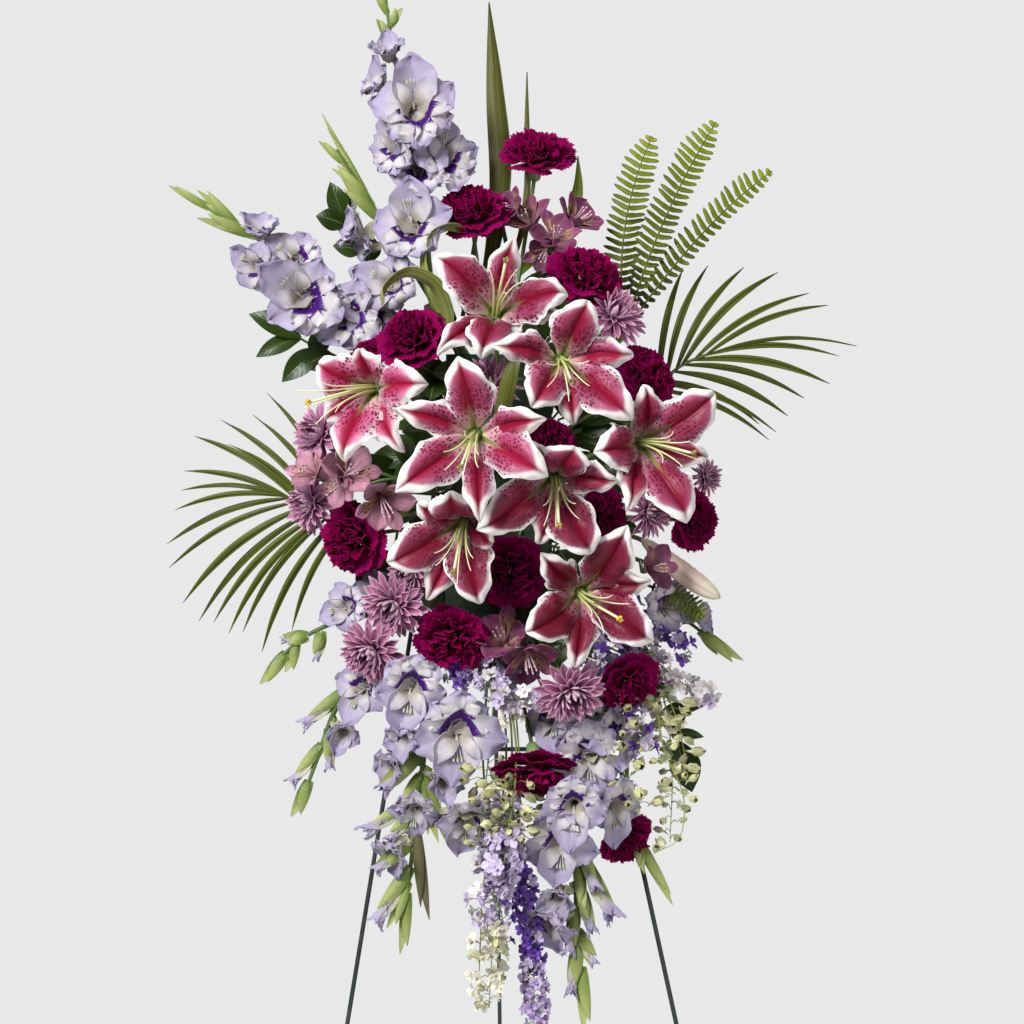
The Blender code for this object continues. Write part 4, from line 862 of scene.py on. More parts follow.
def make_lily_bud():
    work = Work("lily_bud_closed")
    start = spot((648, 544), -0.205)
    end = spot((720, 598), -0.235)
    way = unit(end - start)
    shares = np.linspace(-0.05, 1.0, 22)
    swell = np.interp(
        shares, (-0.05, 0.05, 0.15, 0.35, 0.5, 0.7, 0.82, 0.92, 0.97, 1.0),
        (0.0045, 0.0072, 0.0095, 0.0112, 0.0118, 0.0112, 0.0095, 0.0066, 0.0042, 0.0012),
    )
    bow = np.outer(np.sin(np.clip(shares, 0, 1) * math.pi), vec(0, 0.002, -0.002))
    points = start + np.outer(shares * np.linalg.norm(end - start), way) + bow
    sides = 24
    work.tube(points, swell, sides, slot=0)
    verts = work.parts["solid"][0][0].reshape(len(shares), sides, 3)
    groove = 1 - 0.10 * np.abs(np.cos(1.5 * np.linspace(0, math.tau, sides, endpoint=False))) ** 6
    verts[:] = points[:, None] + (verts - points[:, None]) * groove[None, :, None]
    add_stem(work, start, way, 0.0026, slot=1)
    finish_material("lily_bud", bud_paint, 0.42)
    work.finish("lily_bud", ("lily_bud", "stem"), "lily")


# Carnations

FAN_OUTLINE = steps_of(
    (0, 0.13), (0.22, 0.18), (0.38, 0.38), (0.56, 0.70), (0.76, 0.94), (0.92, 1.0), (1, 0.97)
)

CARNATIONS = {
    "carnation_top": [(537, 142), -0.150, 1.0, (0.05, -0.55, 0.85)],
    "carnation_top_left": [(470, 201), -0.165, 0.975, None],
    "carnation_top_right": [(589, 266), -0.226, 1.0, None],
    "carnation_right": [(653, 371), -0.215, 0.9, None], "carnation_far_left": [(344, 541), -0.222, 1.0, None],
    "carnation_far_right": [(702, 522), -0.215, 0.8, None],
    "carnation_middle": [(510, 577), -0.268, 0.95, None], "carnation_low": [(450, 646), -0.262, 1.0, None],
    "carnation_low_right": [(634, 690), -0.245, 0.825, None],
    "carnation_hanging": [(535, 785), -0.254, 1.05, (0.05, -0.48, -0.87)],
    "carnation_hanging_right": [(633, 846), -0.205, 0.76, (0.5, -0.6, -0.5)],
    "carnation_behind": [(550, 440), -0.240, 0.8, None],
    "carnation_behind_low": [(607, 516), -0.250, 0.725, None],
}


def carnation_paint(shade):
    look = looks()
    _, t, tint = shade.look()
    colour = shade.mix(tint, look.carnation_heart, look.carnation)
    # Painted shade: the inner ends of the petals, down in the head, go towards the dark colour
    colour = shade.mix(shade.span(t, 0.35, 0.95), look.carnation_deep, colour)
    colour = shade.mix(shade.span(t, 0.95, 1.0, 0.0, 0.4), colour, look.carnation_edge)
    # The petals' own veins, in the same dark colour
    streak = shade.veins(11.0, 0.5)
    colour = shade.over(colour, look.carnation_deep, streak["Line"], 0.30)
    return shade.relief(colour, streak["Height"], 0.5, 0.0008)


def calyx_paint(shade):
    t = shade.look()[1]
    colour = shade.ramp(t, ((0.0, (0.10, 0.17, 0.05)), (0.5, (0.20, 0.30, 0.10)), (1.0, (0.30, 0.40, 0.17))))
    ribs = shade.noise(5, 2, shade.attribute("spread"), (1.0, 0.1, 1))
    return shade.relief(colour, ribs, 0.3, 0.0005)


def fan_petal(work, base, tip, end_way, over, scale, width, columns, depth, bends, tint):
    """A fan-shaped petal with a toothed edge and soft folds that deepen towards it."""
    draw = work.draw
    rise = unit(tip - base)
    line = bezier(base, base + rise * scale * 0.45, tip - end_way * scale * 0.50, tip)
    line.length = scale * 1.2
    phase = draw.uniform(0, math.tau, 4)

    def lift(s, t):
        wave = np.sin(bends * math.pi * s + phase[0]) + 0.5 * np.sin(
            1.9 * bends * math.pi * s + phase[1] + 1.5 * t
        )
        droop = 0.10 * np.abs(s) ** 2 * math.sin(phase[2])
        return scale * (depth * wave + droop) * np.clip((t - 0.22) / 0.78, 0, 1) ** 1.3

    def teeth(s, t):
        column = np.round((s + 1) / 2 * columns).astype(int)
        jag = np.where(column % 2 == 0, 0.0, -0.045) - 0.025 * np.sin(9 * s + phase[3])
        return 1 - 0.20 * s**2 * t**3 + jag * t**16

    work.lay((columns, 5), line, over, width, FAN_OUTLINE, lift, tint=tint, teeth=teeth)


# The rows of a carnation: how many petals, how far out, how high, how far they open, their width,
# the points across them, and the depth and number of their folds
CARNATION_ROWS = (
    (6, 1.12, 0.36, 1.20, 1.24, 22, 0.035, 1.3), (6, 1.00, 0.60, 0.90, 1.14, 20, 0.050, 1.7),
    (6, 0.76, 0.84, 0.50, 1.00, 14, 0.085, 2.3), (6, 0.50, 1.00, 0.18, 0.88, 14, 0.110, 2.7),
    (5, 0.24, 1.04, 0.0, 0.80, 14, 0.120, 3.0),
)


def carnation_head(work, place, facing, size):
    """Two rows of broad guard petals round a crown of folded ones."""
    draw = work.draw
    scale = size / 2
    base = place - facing * (scale * 0.80)
    neck = base + facing * scale * 0.30
    side, up = across_of(facing)
    spin = draw.uniform(0, 6)
    for row, (count, radial, high, spread, width, columns, depth, bends) in enumerate(CARNATION_ROWS):
        for k in range(count):
            angle = spin + math.tau * (k + 0.5 * (row % 2)) / count + row * 0.25 + draw.uniform(-0.16, 0.16)
            ray = turned(side, up, angle)
            reach = scale * radial * draw.uniform(0.90, 1.05)
            rise = scale * (high + draw.uniform(-0.10, 0.08))
            tip = base + ray * reach + facing * rise
            end_way = unit(ray * spread + facing * (1 - 0.85 * spread) + facing * 0.02)
            twist = draw.uniform(-0.2, 0.2) * (1 + row)
            over = turned(np.cross(facing, ray), ray, twist)
            tint = np.clip(1.0 - 0.24 * row + draw.uniform(-0.18, 0.18), 0, 1)
            wide = scale * width * draw.uniform(0.88, 1.08)
            folds = bends + draw.uniform(-0.4, 0.4)
            fan_petal(work, neck, tip, end_way, over, scale, wide, columns, depth, folds, tint)
    cup = [base + facing * (scale * h) for h in (-0.36, -0.30, -0.05, 0.28, 0.44)]
    work.tube(cup, np.array((0.08, 0.15, 0.19, 0.21, 0.17)) * scale, 12, slot=2)
    return base


def make_carnations():
    petal = finish_material("carnation_petal", carnation_paint, 0.6, 0.03, Sheen_Weight=0.03)
    petal.node_tree.nodes["Principled BSDF"].inputs["Sheen Tint"].default_value = (0.9, 0.1, 0.5, 1)
    finish_material("calyx", calyx_paint, 0.5)
    materials = ("carnation_petal", "carnation_petal", "calyx", "stem")
    full = looks().carnation_width
    for name, (photo, depth, size, facing) in CARNATIONS.items():
        work = Work(name + "_bloom")
        place = spot(photo, depth)
        facing = outward(place) if facing is None else unit(vec(*facing))
        base = carnation_head(work, place, facing, size * full)
        add_stem(work, base + facing * 0.004, facing, slot=3)
        work.finish(name, materials, "carnation", 0.0004)
    work = Work("carnation_left_pair_blooms")
    pair = (((406, 330), -0.235, 0.074), ((364, 352), -0.200, 0.046))
    places = [spot(photo, depth) for photo, depth, _ in pair]
    inner, end, out = fork_of(places)
    work.tube([inner, end], STEM * 1.2, 8, 3)
    for place, (_, _, size) in zip(places, pair):
        facing = outward(place)
        base = carnation_head(work, place, facing, size)
        add_twig(work, end, out, base, facing, 3)
    work.finish("carnation_left_pair", materials, "carnation", 0.0005)


# Cushion mums

RAY_OUTLINE = steps_of((0, 0.40), (0.3, 0.72), (0.55, 0.95), (0.75, 1.0), (0.90, 0.72), (1, 0.10))

MUMS = {
    "mum_upper_right": [((616, 312), -0.225, 0.941)], "mum_middle": [((490, 380), -0.262, 0.882)],
    "mum_left": [((317, 434), -0.195, 0.912), ((307, 503), -0.185, 0.853)],
    "mum_low_left": [((392, 608), -0.245, 0.971), ((370, 654), -0.240, 0.971), ((408, 573), -0.225, 0.735)],
    "mum_low": [((572, 696), -0.278, 1.0)],
    "mum_right": [((652, 512), -0.232, 0.794), ((708, 476), -0.190, 0.588)],
}


# How wide the rays are on the mums whose rays are slimmer than the others
SLIM_RAYS = {"mum_middle": 0.58, "mum_right": 0.66, "mum_upper_right": 0.85}


def mum_face(shade):
    look = looks()
    s, t, _ = shade.look()
    # Painted shade: the inner ends of the rays, down in the head, go towards the dark colour
    colour = shade.mix(shade.span(t, 0.20, 0.90), look.mum_deep, look.mum)
    # Painted shade too along the hollow middle of each ray, near its base
    heart = shade.times(shade.span(shade.unsigned(s), 0.5, 0.1), shade.span(t, 1.0, 0.5))
    colour = shade.over(colour, look.mum_deep, heart, 0.35)
    edge = shade.maths("MAXIMUM", shade.span(shade.unsigned(s), 0.55, 1.0), shade.span(t, 0.86, 1.0))
    colour = shade.over(colour, look.mum_edge, edge, 0.7)
    colour = shade.mottle(colour, 0.55, 50.0)
    veins = shade.veins(3.0, 0.5)["Height"]
    return shade.relief(colour, veins, 0.3, 0.0004)


def mum_back(shade):
    look = looks()
    colour = shade.mix(shade.span(shade.look()[1], 0.1, 0.9), look.mum, look.mum_edge)
    return {"Base Color": shade.mottle(colour, 0.4, 50.0)}


# The rows of a mum: how many rays, how far out, how high, how far they open and their width
MUM_ROWS = (
    (15, 1.12, 0.14, 1.05, 0.27), (15, 1.04, 0.42, 0.95, 0.27), (13, 0.86, 0.68, 0.65, 0.25),
    (11, 0.64, 0.88, 0.35, 0.23), (8, 0.42, 0.96, 0.0, 0.20), (6, 0.20, 0.92, -0.4, 0.17),
)


def mum_head(work, place, facing, size, fullness):
    """Pointed strap rays: the outer ones droop, the middle ones stand, the inner ones curl inwards."""
    draw = work.draw
    scale = size / 2
    base = place - facing * (scale * 0.45)
    side, up = across_of(facing)
    for row, (count, radial, high, spread, width) in enumerate(MUM_ROWS):
        for k in range(count):
            angle = math.tau * (k + 0.5 * (row % 2)) / count + row * 0.2 + draw.uniform(-0.13, 0.13)
            ray = turned(side, up, angle)
            grow = draw.uniform(0.90, 1.06)
            tip = base + ray * scale * radial * grow + facing * scale * (high + draw.uniform(-0.07, 0.07))
            root = base + ray * scale * 0.10 + facing * scale * 0.12
            rising = root + unit(ray * 0.5 + facing) * scale * (0.25 + 0.1 * row / 5)
            end_way = unit(ray * spread + facing * (0.75 - 0.8 * spread))
            line = bezier(root, rising, tip - end_way * scale * 0.40, tip)
            cup = draw.uniform(0.14, 0.26)
            flat = scale * width * grow * fullness

            def lift(s, t):
                return flat * (cup * s**2 + 0.1 * t * np.sin(5 * t + row))

            tint = draw.uniform(0, 0.5) + 0.5 * (row < 3)
            work.lay((4, 6), line, np.cross(facing, ray), flat, RAY_OUTLINE, lift, tint=tint)
    cup = [base + facing * (scale * h) for h in (-0.12, -0.06, 0.10, 0.34)]
    work.tube(cup, np.array((0.08, 0.26, 0.34, 0.20)) * scale, 12, slot=2)
    return base


def make_mums():
    finish_material("mum_ray", mum_face, 0.48, 0.2)
    finish_material("mum_ray_back", mum_back, 0.5, 0.3)
    full = looks().mum_width * 1.04
    for name, heads in MUMS.items():
        work = Work(name + "_bloom")
        places = [spot(photo, depth) for photo, depth, _ in heads]
        if len(heads) == 1:
            facing = outward(places[0])
            base = mum_head(work, places[0], facing, heads[0][2] * full, SLIM_RAYS.get(name, 1.0))
            add_stem(work, base, facing)
        else:
            inner, end, out = fork_of(places)
            work.tube([inner, end], STEM * 1.2)
            for place, spec in zip(places, heads):
                facing = outward(place)
                base = mum_head(work, place, facing, spec[2] * full, SLIM_RAYS.get(name, 1.0))
                add_twig(work, end, out, base, facing)
        work.finish(name, ("mum_ray", "mum_ray_back", "stem"), "mum", 0.0006)


# Gladioli and alstroemeria

TEPAL_OUTLINE = steps_of(
    (0, 0.12), (0.28, 0.26), (0.46, 0.58), (0.60, 0.93), (0.70, 1.0), (0.80, 0.90), (0.89, 0.62),
    (0.95, 0.35), (0.985, 0.15), (1, 0.03),
)
LIP_OUTLINE = steps_of(
    (0, 0.14), (0.28, 0.30), (0.48, 0.66), (0.62, 0.94), (0.74, 1.0), (0.85, 0.86), (0.93, 0.58),
    (0.98, 0.27), (1, 0.06),
)
SPOON_OUTLINE = steps_of(
    (0, 0.14), (0.3, 0.24), (0.55, 0.62), (0.75, 1.0), (0.88, 0.9), (0.96, 0.48), (1, 0.06)
)
OBOVATE_OUTLINE = steps_of(
    (0, 0.12), (0.30, 0.26), (0.50, 0.62), (0.66, 0.95), (0.76, 1.0), (0.88, 0.78), (0.95, 0.46), (1, 0.10)
)
BRACT_OUTLINE = steps_of((0, 0.72), (0.2, 0.95), (0.45, 1.0), (0.75, 0.66), (0.92, 0.26), (1, 0.03))
# The gladiolus stalk's radius, how far below its flower's mouth a flower springs from it, and
# how much broader its petals are than their table says
STALK = 0.0042
FLORET_DROP = 0.03
BROAD = 1.14

GLADIOLI = {
    "gladiolus_top": dict(
        route=[
            ((436, 300), -0.165), ((424, 210), -0.155), ((404, 110), -0.150), ((390, 30), -0.150),
            ((383, -20), -0.150),
        ],
        florets=[
            ((409, 216), -0.185, 0.080, (-0.15, -1, 0.2)), ((446, 150), -0.170, 0.070, (0.5, -1, 0.1)),
            ((391, 140), -0.180, 0.062, (-0.7, -0.9, 0.0)), ((418, 162), -0.172, 0.064, (-0.1, -1, 0.2)),
            ((414, 98), -0.190, 0.086, (0.1, -1, 0.2)), ((380, 80), -0.160, 0.047, (-0.9, -0.6, 0.5)),
            ((388, 50), -0.165, 0.042, (-0.2, -0.7, 0.9)),
        ],
        buds=[
            ((392, 40), (380, 22), -0.160, 0.012), ((390, 30), (398, 10), -0.150, 0.011),
            ((387, 10), (377, -8), -0.155, 0.010), ((385, -4), (392, -24), -0.150, 0.009),
            ((384, -14), (381, -38), -0.150, 0.008),
        ],
    ),
    "gladiolus_left": dict(
        route=[
            ((402, 330), -0.150), ((340, 296), -0.150), ((270, 244), -0.155), ((215, 212), -0.155),
            ((190, 197), -0.155),
        ],
        florets=[
            ((384, 280), -0.178, 0.066, (-0.4, -1, 0.3)), ((342, 312), -0.178, 0.072, (-0.1, -1, -0.1)),
            ((366, 312), -0.172, 0.056, (0.3, -1, 0.1)), ((298, 292), -0.192, 0.084, (0.2, -1, 0.0)),
            ((290, 252), -0.168, 0.060, (0.0, -1, 0.7)), ((252, 264), -0.178, 0.054, (-0.5, -1, -0.3)),
            ((258, 230), -0.162, 0.046, (0.1, -0.6, 0.9)),
        ],
        buds=[
            ((256, 240), (208, 218), -0.163, 0.014), ((250, 238), (216, 224), -0.160, 0.010),
            ((240, 224), (206, 194), -0.156, 0.012), ((226, 212), (202, 202), -0.154, 0.009),
            ((208, 206), (176, 188), -0.155, 0.010),
        ],
    ),
    "gladiolus_bud_spike": dict(
        route=[((408, 262), -0.140), ((378, 215), -0.140), ((355, 178), -0.140), ((336, 150), -0.140)],
        florets=[
            ((356, 228), -0.158, 0.046, (-1, -0.4, 0.25)), ((366, 244), -0.154, 0.036, (-0.8, -0.5, -0.1))
        ],
        buds=[
            ((384, 222), (347, 188), -0.145, 0.014), ((376, 206), (341, 164), -0.141, 0.013),
            ((360, 186), (338, 170), -0.140, 0.009), ((348, 162), (324, 144), -0.140, 0.010),
            ((386, 206), (330, 130), -0.136, 0.009),
        ],
    ),
    "gladioli_low_left": dict(
        route=[((392, 612), -0.195), ((350, 618), -0.190), ((300, 640), -0.185), ((276, 662), -0.185)],
        florets=[((341, 608), -0.205, 0.050, (-0.4, -1, 0.2)), ((372, 594), -0.185, 0.050, (0.1, -1, 0.3))],
        buds=[
            ((322, 632), (316, 658), -0.192, 0.016), ((308, 636), (284, 640), -0.187, 0.017),
            ((296, 644), (290, 668), -0.186, 0.014), ((286, 654), (266, 680), -0.185, 0.016),
        ],
    ),
    "gladiolus_low": dict(
        route=[
            ((424, 690), -0.225), ((424, 750), -0.232), ((416, 820), -0.228), ((408, 890), -0.222),
            ((404, 930), -0.220),
        ],
        florets=[
            ((410, 696), -0.262, 0.072, (0.1, -1, -0.1)), ((458, 742), -0.262, 0.088, (0.15, -1, -0.1)),
            ((404, 742), -0.245, 0.044, (-0.6, -1, -0.2)), ((392, 766), -0.242, 0.046, (-0.7, -0.8, -0.5)),
            ((414, 816), -0.246, 0.050, (-0.1, -1, -0.8)), ((444, 786), -0.240, 0.042, (0.4, -1, -0.2)),
            ((466, 828), -0.245, 0.062, (0.3, -1, -0.7)), ((396, 852), -0.236, 0.048, (-0.7, -0.6, -0.8)),
        ],
        buds=[
            ((418, 750), (384, 788), -0.250, 0.020), ((420, 778), (400, 810), -0.250, 0.018),
            ((414, 800), (368, 829), -0.242, 0.017), ((414, 808), (390, 838), -0.244, 0.018),
            ((410, 842), (378, 868), -0.238, 0.020), ((411, 868), (378, 918), -0.230, 0.019),
            ((428, 776), (432, 832), -0.238, 0.014), ((430, 770), (446, 834), -0.234, 0.014),
            ((412, 826), (424, 904), -0.232, 0.014), ((410, 884), (393, 922), -0.228, 0.013),
            ((408, 890), (404, 944), -0.222, 0.014), ((418, 820), (419, 880), -0.226, 0.012),
        ],
        dry=(8,),
    ),
    "gladiolus_low_right": dict(
        route=[
            ((560, 680), -0.215), ((574, 750), -0.228), ((578, 840), -0.225), ((576, 920), -0.220),
            ((584, 985), -0.215),
        ],
        florets=[
            ((590, 764), -0.248, 0.076, (0.1, -1, -0.1)), ((616, 742), -0.240, 0.056, (0.6, -1, 0.2)),
            ((574, 814), -0.268, 0.066, (0.0, -1, -0.1)), ((618, 814), -0.240, 0.062, (0.7, -0.9, -0.4)),
            ((560, 852), -0.255, 0.070, (-0.1, -1, -0.3)), ((558, 902), -0.245, 0.046, (-0.4, -1, -0.6)),
            ((552, 722), -0.236, 0.062, (-0.4, -1, 0.3)), ((586, 722), -0.234, 0.060, (0.2, -1, 0.4)),
            ((548, 930), -0.228, 0.062, (-0.6, -0.7, -0.9)),
        ],
        buds=[
            ((592, 836), (596, 886), -0.238, 0.015), ((590, 850), (612, 912), -0.232, 0.016),
            ((578, 880), (592, 928), -0.230, 0.016), ((578, 905), (570, 950), -0.225, 0.016),
            ((580, 930), (594, 962), -0.222, 0.017), ((580, 940), (572, 990), -0.220, 0.018),
            ((584, 966), (586, 1020), -0.216, 0.016), ((576, 862), (582, 902), -0.236, 0.015),
        ],
    ),
}

GLADIOLUS_FILLER = dict(
    route=[((628, 612), -0.175), ((656, 612), -0.184), ((688, 622), -0.188), ((704, 634), -0.190)],
    florets=[((674, 608), -0.206, 0.055, (0.4, -1, 0.0)), ((700, 618), -0.196, 0.036, (0.9, -0.5, 0.1))],
    buds=[((700, 628), (734, 658), -0.190, 0.0140), ((702, 631), (716, 650), -0.186, 0.012)],
)

GLADIOLUS_FILLER_LOW = dict(
    route=[((624, 740), -0.188), ((628, 800), -0.192), ((638, 842), -0.194)], florets=[],
    buds=[((638, 836), (668, 893), -0.196, 0.0135), ((630, 826), (641, 866), -0.200, 0.0140)],
)

LOW_LEFT_FORK = dict(
    route=[
        ((392, 612), -0.195), ((362, 660), -0.195), ((335, 710), -0.190), ((315, 765), -0.185),
        ((302, 800), -0.185),
    ],
    florets=[((358, 694), -0.215, 0.058, (-0.4, -1, 0.0)), ((341, 736), -0.200, 0.040, (0.2, -1, -0.5))],
    buds=[
        ((342, 690), (306, 722), -0.192, 0.017), ((330, 728), (330, 766), -0.190, 0.015),
        ((322, 745), (293, 780), -0.187, 0.016), ((310, 782), (297, 812), -0.185, 0.016),
    ],
)


def gladiolus_face(shade):
    look = looks()
    s, t, tint = shade.look()
    rim = shade.spread()[2]
    side = shade.unsigned(s)
    lip = shade.maths("GREATER_THAN", tint, 0.66)
    patch = shade.noise(2.2, 3, shade.attribute("look"), (1.2, 1, 3))
    inner = shade.mix(shade.span(t, 0.44, 0.60), look.gladiolus_throat, look.gladiolus_white)
    reach = shade.plus(t, shade.times(shade.minus(patch, 0.5), 0.30))
    turned = shade.mix(lip, shade.span(reach, 0.52, 0.84), shade.span(reach, 0.74, 1.0))
    colour = shade.mix(turned, inner, look.gladiolus)
    edge = shade.maths("MAXIMUM", shade.span(rim, 4.5, 0.3), shade.span(t, 0.86, 1.0))
    colour = shade.over(colour, look.gladiolus_rim, edge, 0.40)
    streak = shade.veins(5.0, 0.30)["Line"]
    colour = shade.over(colour, look.gladiolus_deep, streak, 0.12)
    midrib = shade.times(shade.span(side, 0.08, 0.01), 0.22)
    colour = shade.mix(midrib, colour, look.gladiolus_deep)
    ragged = shade.noise(5, 3, shade.attribute("look"), (4, 1, 0))
    reach = shade.plus(t, shade.times(shade.minus(ragged, 0.5), 0.16))
    mark = shade.times(shade.span(reach, 0.43, 0.47), shade.span(reach, 0.60, 0.56))
    mark = shade.times(mark, lip)
    colour = shade.mix(mark, colour, look.gladiolus_eye)
    colour = shade.mottle(colour, 0.22, 30.0)
    veins = shade.veins(6.0, 0.5)["Height"]
    return shade.relief(colour, veins, 0.16, 0.0006)


def gladiolus_back(shade):
    look = looks()
    t = shade.look()[1]
    colour = shade.mix(shade.span(t, 0.35, 0.85), (0.40, 0.41, 0.27), look.gladiolus)
    veins = shade.veins(5.0, 0.4)
    colour = shade.over(colour, look.gladiolus_deep, veins["Line"], 0.16)
    return shade.relief(colour, veins["Height"], 0.15, 0.0006)


def bract_paint(shade):
    _, t, tint = shade.look()
    fresh = shade.mix(shade.span(t, 0.1, 1.0), (0.155, 0.215, 0.030), (0.34, 0.38, 0.125))
    colour = shade.mix(shade.span(tint, 0.82, 0.9), fresh, (0.075, 0.062, 0.024))
    streak = shade.veins(6.0, 0.4)
    colour = shade.over(colour, (0.10, 0.15, 0.02), streak["Line"], 0.3)
    colour = shade.mottle(colour, 0.45, 40.0)
    return shade.relief(colour, streak["Height"], 0.35, 0.0006)


def bud_tip_paint(shade):
    look = looks()
    t = shade.look()[1]
    colour = shade.mix(shade.span(t, 0.30, 0.75), (0.40, 0.44, 0.20), look.gladiolus_white)
    return {"Base Color": colour}


# Each petal of a gladiolus: its turn from the hood, its reach and width, how far its tip
# sweeps forward, and its hollow
TEPALS = (
    (180, 1.00, 0.84, 0.00, 0.00), (130, 0.94, 0.78, -0.12, 0.03), (-130, 0.94, 0.78, -0.12, 0.03),
    (72, 1.14, 0.94, -0.18, 0.05), (-72, 1.14, 0.94, -0.18, 0.05), (0, 1.42, 1.00, 0.06, 0.26),
)


def floret(work, root, rim, facing, size, apex, spread=1.0, fine=(10, 16)):
    """A gladiolus flower: a hollow hood over a narrow mouth, two wings and three paler ruffled lips."""
    draw = work.draw
    scale = size / 2
    up = unit(apex - facing * np.dot(apex, facing) + 1e-4)
    right = np.cross(facing, up)
    mouth = rim - up * scale * 0.26 * spread
    axis = mouth - root
    for turn, reach, width, sweep, hollow_share in TEPALS:
        lip, hood = abs(turn) > 90, turn == 0
        ray = turned(up, right, math.radians(turn + draw.uniform(-9, 9)))
        sweep = sweep + draw.uniform(-0.10, 0.10) + (1 - spread) * 1.25
        far = scale * reach * spread * draw.uniform(0.92, 1.06)
        width = width * BROAD
        tip = mouth + ray * far + facing * scale * sweep
        lean = 0.55 * sweep - (0.06 if hood else -0.03)
        edge = -0.28 if hood else -0.05
        stops = np.array([
            root + ray * 0.0015,
            root + axis * 0.45 + ray * scale * 0.12,
            mouth - facing * scale * 0.40 + ray * scale * 0.18 * spread,
            mouth + facing * scale * edge * spread + ray * scale * 0.40 * spread,
            mouth + facing * scale * lean + ray * far * 0.70,
            tip,
        ])
        knots = np.concatenate(([0], np.cumsum(np.linalg.norm(np.diff(stops, axis=0), axis=1))))
        marks = (knots / knots[-1], (0, 0.22, 0.40, 0.56, 0.80, 1))
        phase = draw.uniform(0, math.tau, 5)
        waves = draw.uniform(1.9, 2.7) * (1.3 if lip else 1.0)
        ruffled = 0.13 if lip else 0.06 if hood else 0.10
        bow = draw.uniform(-0.12, 0.12)

        def lift(s, t):
            grow = np.clip((t - 0.42) / 0.58, 0, 1)
            hand = np.where(s > 0, phase[0], phase[1])
            wave = np.sin(waves * math.tau * 2 * t + hand)
            wave = wave + 0.5 * np.sin(2.2 * waves * math.tau * 2 * t + hand * 2)
            hollow = (0.12 * (1 - grow) + hollow_share * np.sin(math.pi * np.clip(t, 0, 1))) * s**2
            fold = 0.05 * np.cos(1.3 * math.pi * s + phase[2]) * grow
            fold = fold - 0.03 * np.exp(-((s / 0.10) ** 2)) * np.clip(t * 2, 0, 1)
            return scale * (ruffled * np.abs(s) ** 2.0 * wave * grow + hollow + fold)

        def teeth(s, t):
            return 1 + 0.028 * np.sin(15 * s + phase[3]) * t**8

        def skew(s, t):
            grow = np.clip((t - 0.42) / 0.58, 0, 1)
            flutter = 0.045 * s * np.abs(s) ** 2 * np.sin(26 * t + phase[4] + 2 * s)
            return scale * grow * (bow * np.sin(math.pi * t) + flutter)

        tint = draw.uniform(0.70, 1.0) if lip else draw.uniform(0.0, 0.6)
        wide = scale * width * min(1, spread + 0.15)
        outline = LIP_OUTLINE if lip else TEPAL_OUTLINE
        work.lay(
            fine, smooth(stops), np.cross(facing, ray), wide, outline, lift, tint=tint, teeth=teeth,
            skew=skew, marks=marks, pace=0.7,
        )
    if spread < 0.5:
        return
    well = mouth - facing * scale * 0.34 + up * scale * 0.10
    for k in range(3):
        lean = unit(facing * 0.62 + up + right * (k - 1) * 0.16)
        end = well + lean * scale * 0.62
        work.tube([root + axis * 0.4, well, end], (0.0009, 0.0008, 0.0006), 5, slot=4, tint=0.3)
        work.tube(
            [end - lean * 0.001, end + lean * 0.001, end + lean * 0.004, end + lean * 0.006],
            (0.0004, 0.0011, 0.0011, 0.0004), 6, slot=4, tint=0.3,
        )


# The two bracts of a sheath: before or behind, length, width, how far off the bud, and hollow
BRACTS = ((1, 0.86, 0.92, 0.36, 0.24), (-1, 1.0, 1.05, 0.20, 0.08))


def sheath(work, root, end, width, tint):
    """Two long pointed bracts, before and behind a bud or the root of a flower, with parted tips."""
    way = end - root
    out = unit(np.cross(way, FORWARD))
    part = work.draw.choice((-1, 1)) * width * work.draw.uniform(0.15, 0.4)
    for hand, share, wide, away, cup in BRACTS:
        off = FORWARD * hand * width * away
        tip = root + way * share + out * part * hand
        bend = root + way * 0.66 * share + off + out * part * hand * 0.3
        line = bezier(root, root + way * 0.3 + off, bend, tip)
        cup = width * cup

        def lift(s, t):
            return -cup * s**2 * (1 - 0.6 * t)

        work.lay((6, 9), line, -out * hand, width * wide, BRACT_OUTLINE, lift, slot=2, tint=tint)


def glad_bud(work, root, end, width, shows, tint):
    """A bud: two bracts, and petals that are still half rolled where they show."""
    way = end - root
    if shows:
        span = np.linalg.norm(way)
        facing = way / span
        floret(work, root, root + way * 0.68, facing, span * 0.60, across_of(facing)[1], 0.30, (6, 10))
    sheath(work, root, root + way * (0.86 if shows else 1.0), width * 0.82, tint)


# Flowers of a gladiolus are fully open above a size, and have finer petals above another
OPEN_FLORET = 0.048
LARGE_FLORET = 0.065
# Buds wider than this show petals, save for the last ones of a spike
SHOWING_BUD = 0.0142


def spike(work, route, florets, buds, dry=(), forked=False):
    """A gladiolus stalk with its open flowers and its buds. dry numbers the buds with dry bracts."""
    points = spots(route)
    line = points if forked else rooted(points)
    shares = np.linspace(0, 1, 30)
    work.tube(smooth(line)(shares)[0], STALK * (1 - 0.6 * shares), 8, slot=5)
    for photo, depth, size, look in florets:
        rim = spot(photo, depth)
        share = max(0.05, nearest_share(line, rim) - FLORET_DROP)
        root = along(line, share)
        apex = unit(along(line, min(1, share + 0.05)) - along(line, share - 0.02))
        look = unit(vec(*look))
        spread, grow = (1.0, 1.0) if size > OPEN_FLORET else (0.62, 1.3)
        fine = (12, 20) if size > LARGE_FLORET else (8, 13)
        full = size * grow * looks().gladiolus_width / 0.080
        floret(work, root, rim, look, full, apex, spread, fine)
        reach = rim - root
        end = root + reach * 0.60 - look * size * 0.16 - apex * size * 0.10
        sheath(work, root - unit(reach) * 0.002, end, 0.014, work.draw.uniform(0, 0.8))
    for index, (start, tip, depth, width) in enumerate(buds):
        root = along(line, nearest_share(line, spot(start, depth)))
        way = (spot(tip, depth) - root) * 1.2
        tint = 0.95 if index in dry else work.draw.uniform(0, 0.8)
        shows = width > SHOWING_BUD and index < len(buds) * 0.7
        glad_bud(work, root, root + way, width, shows, tint)


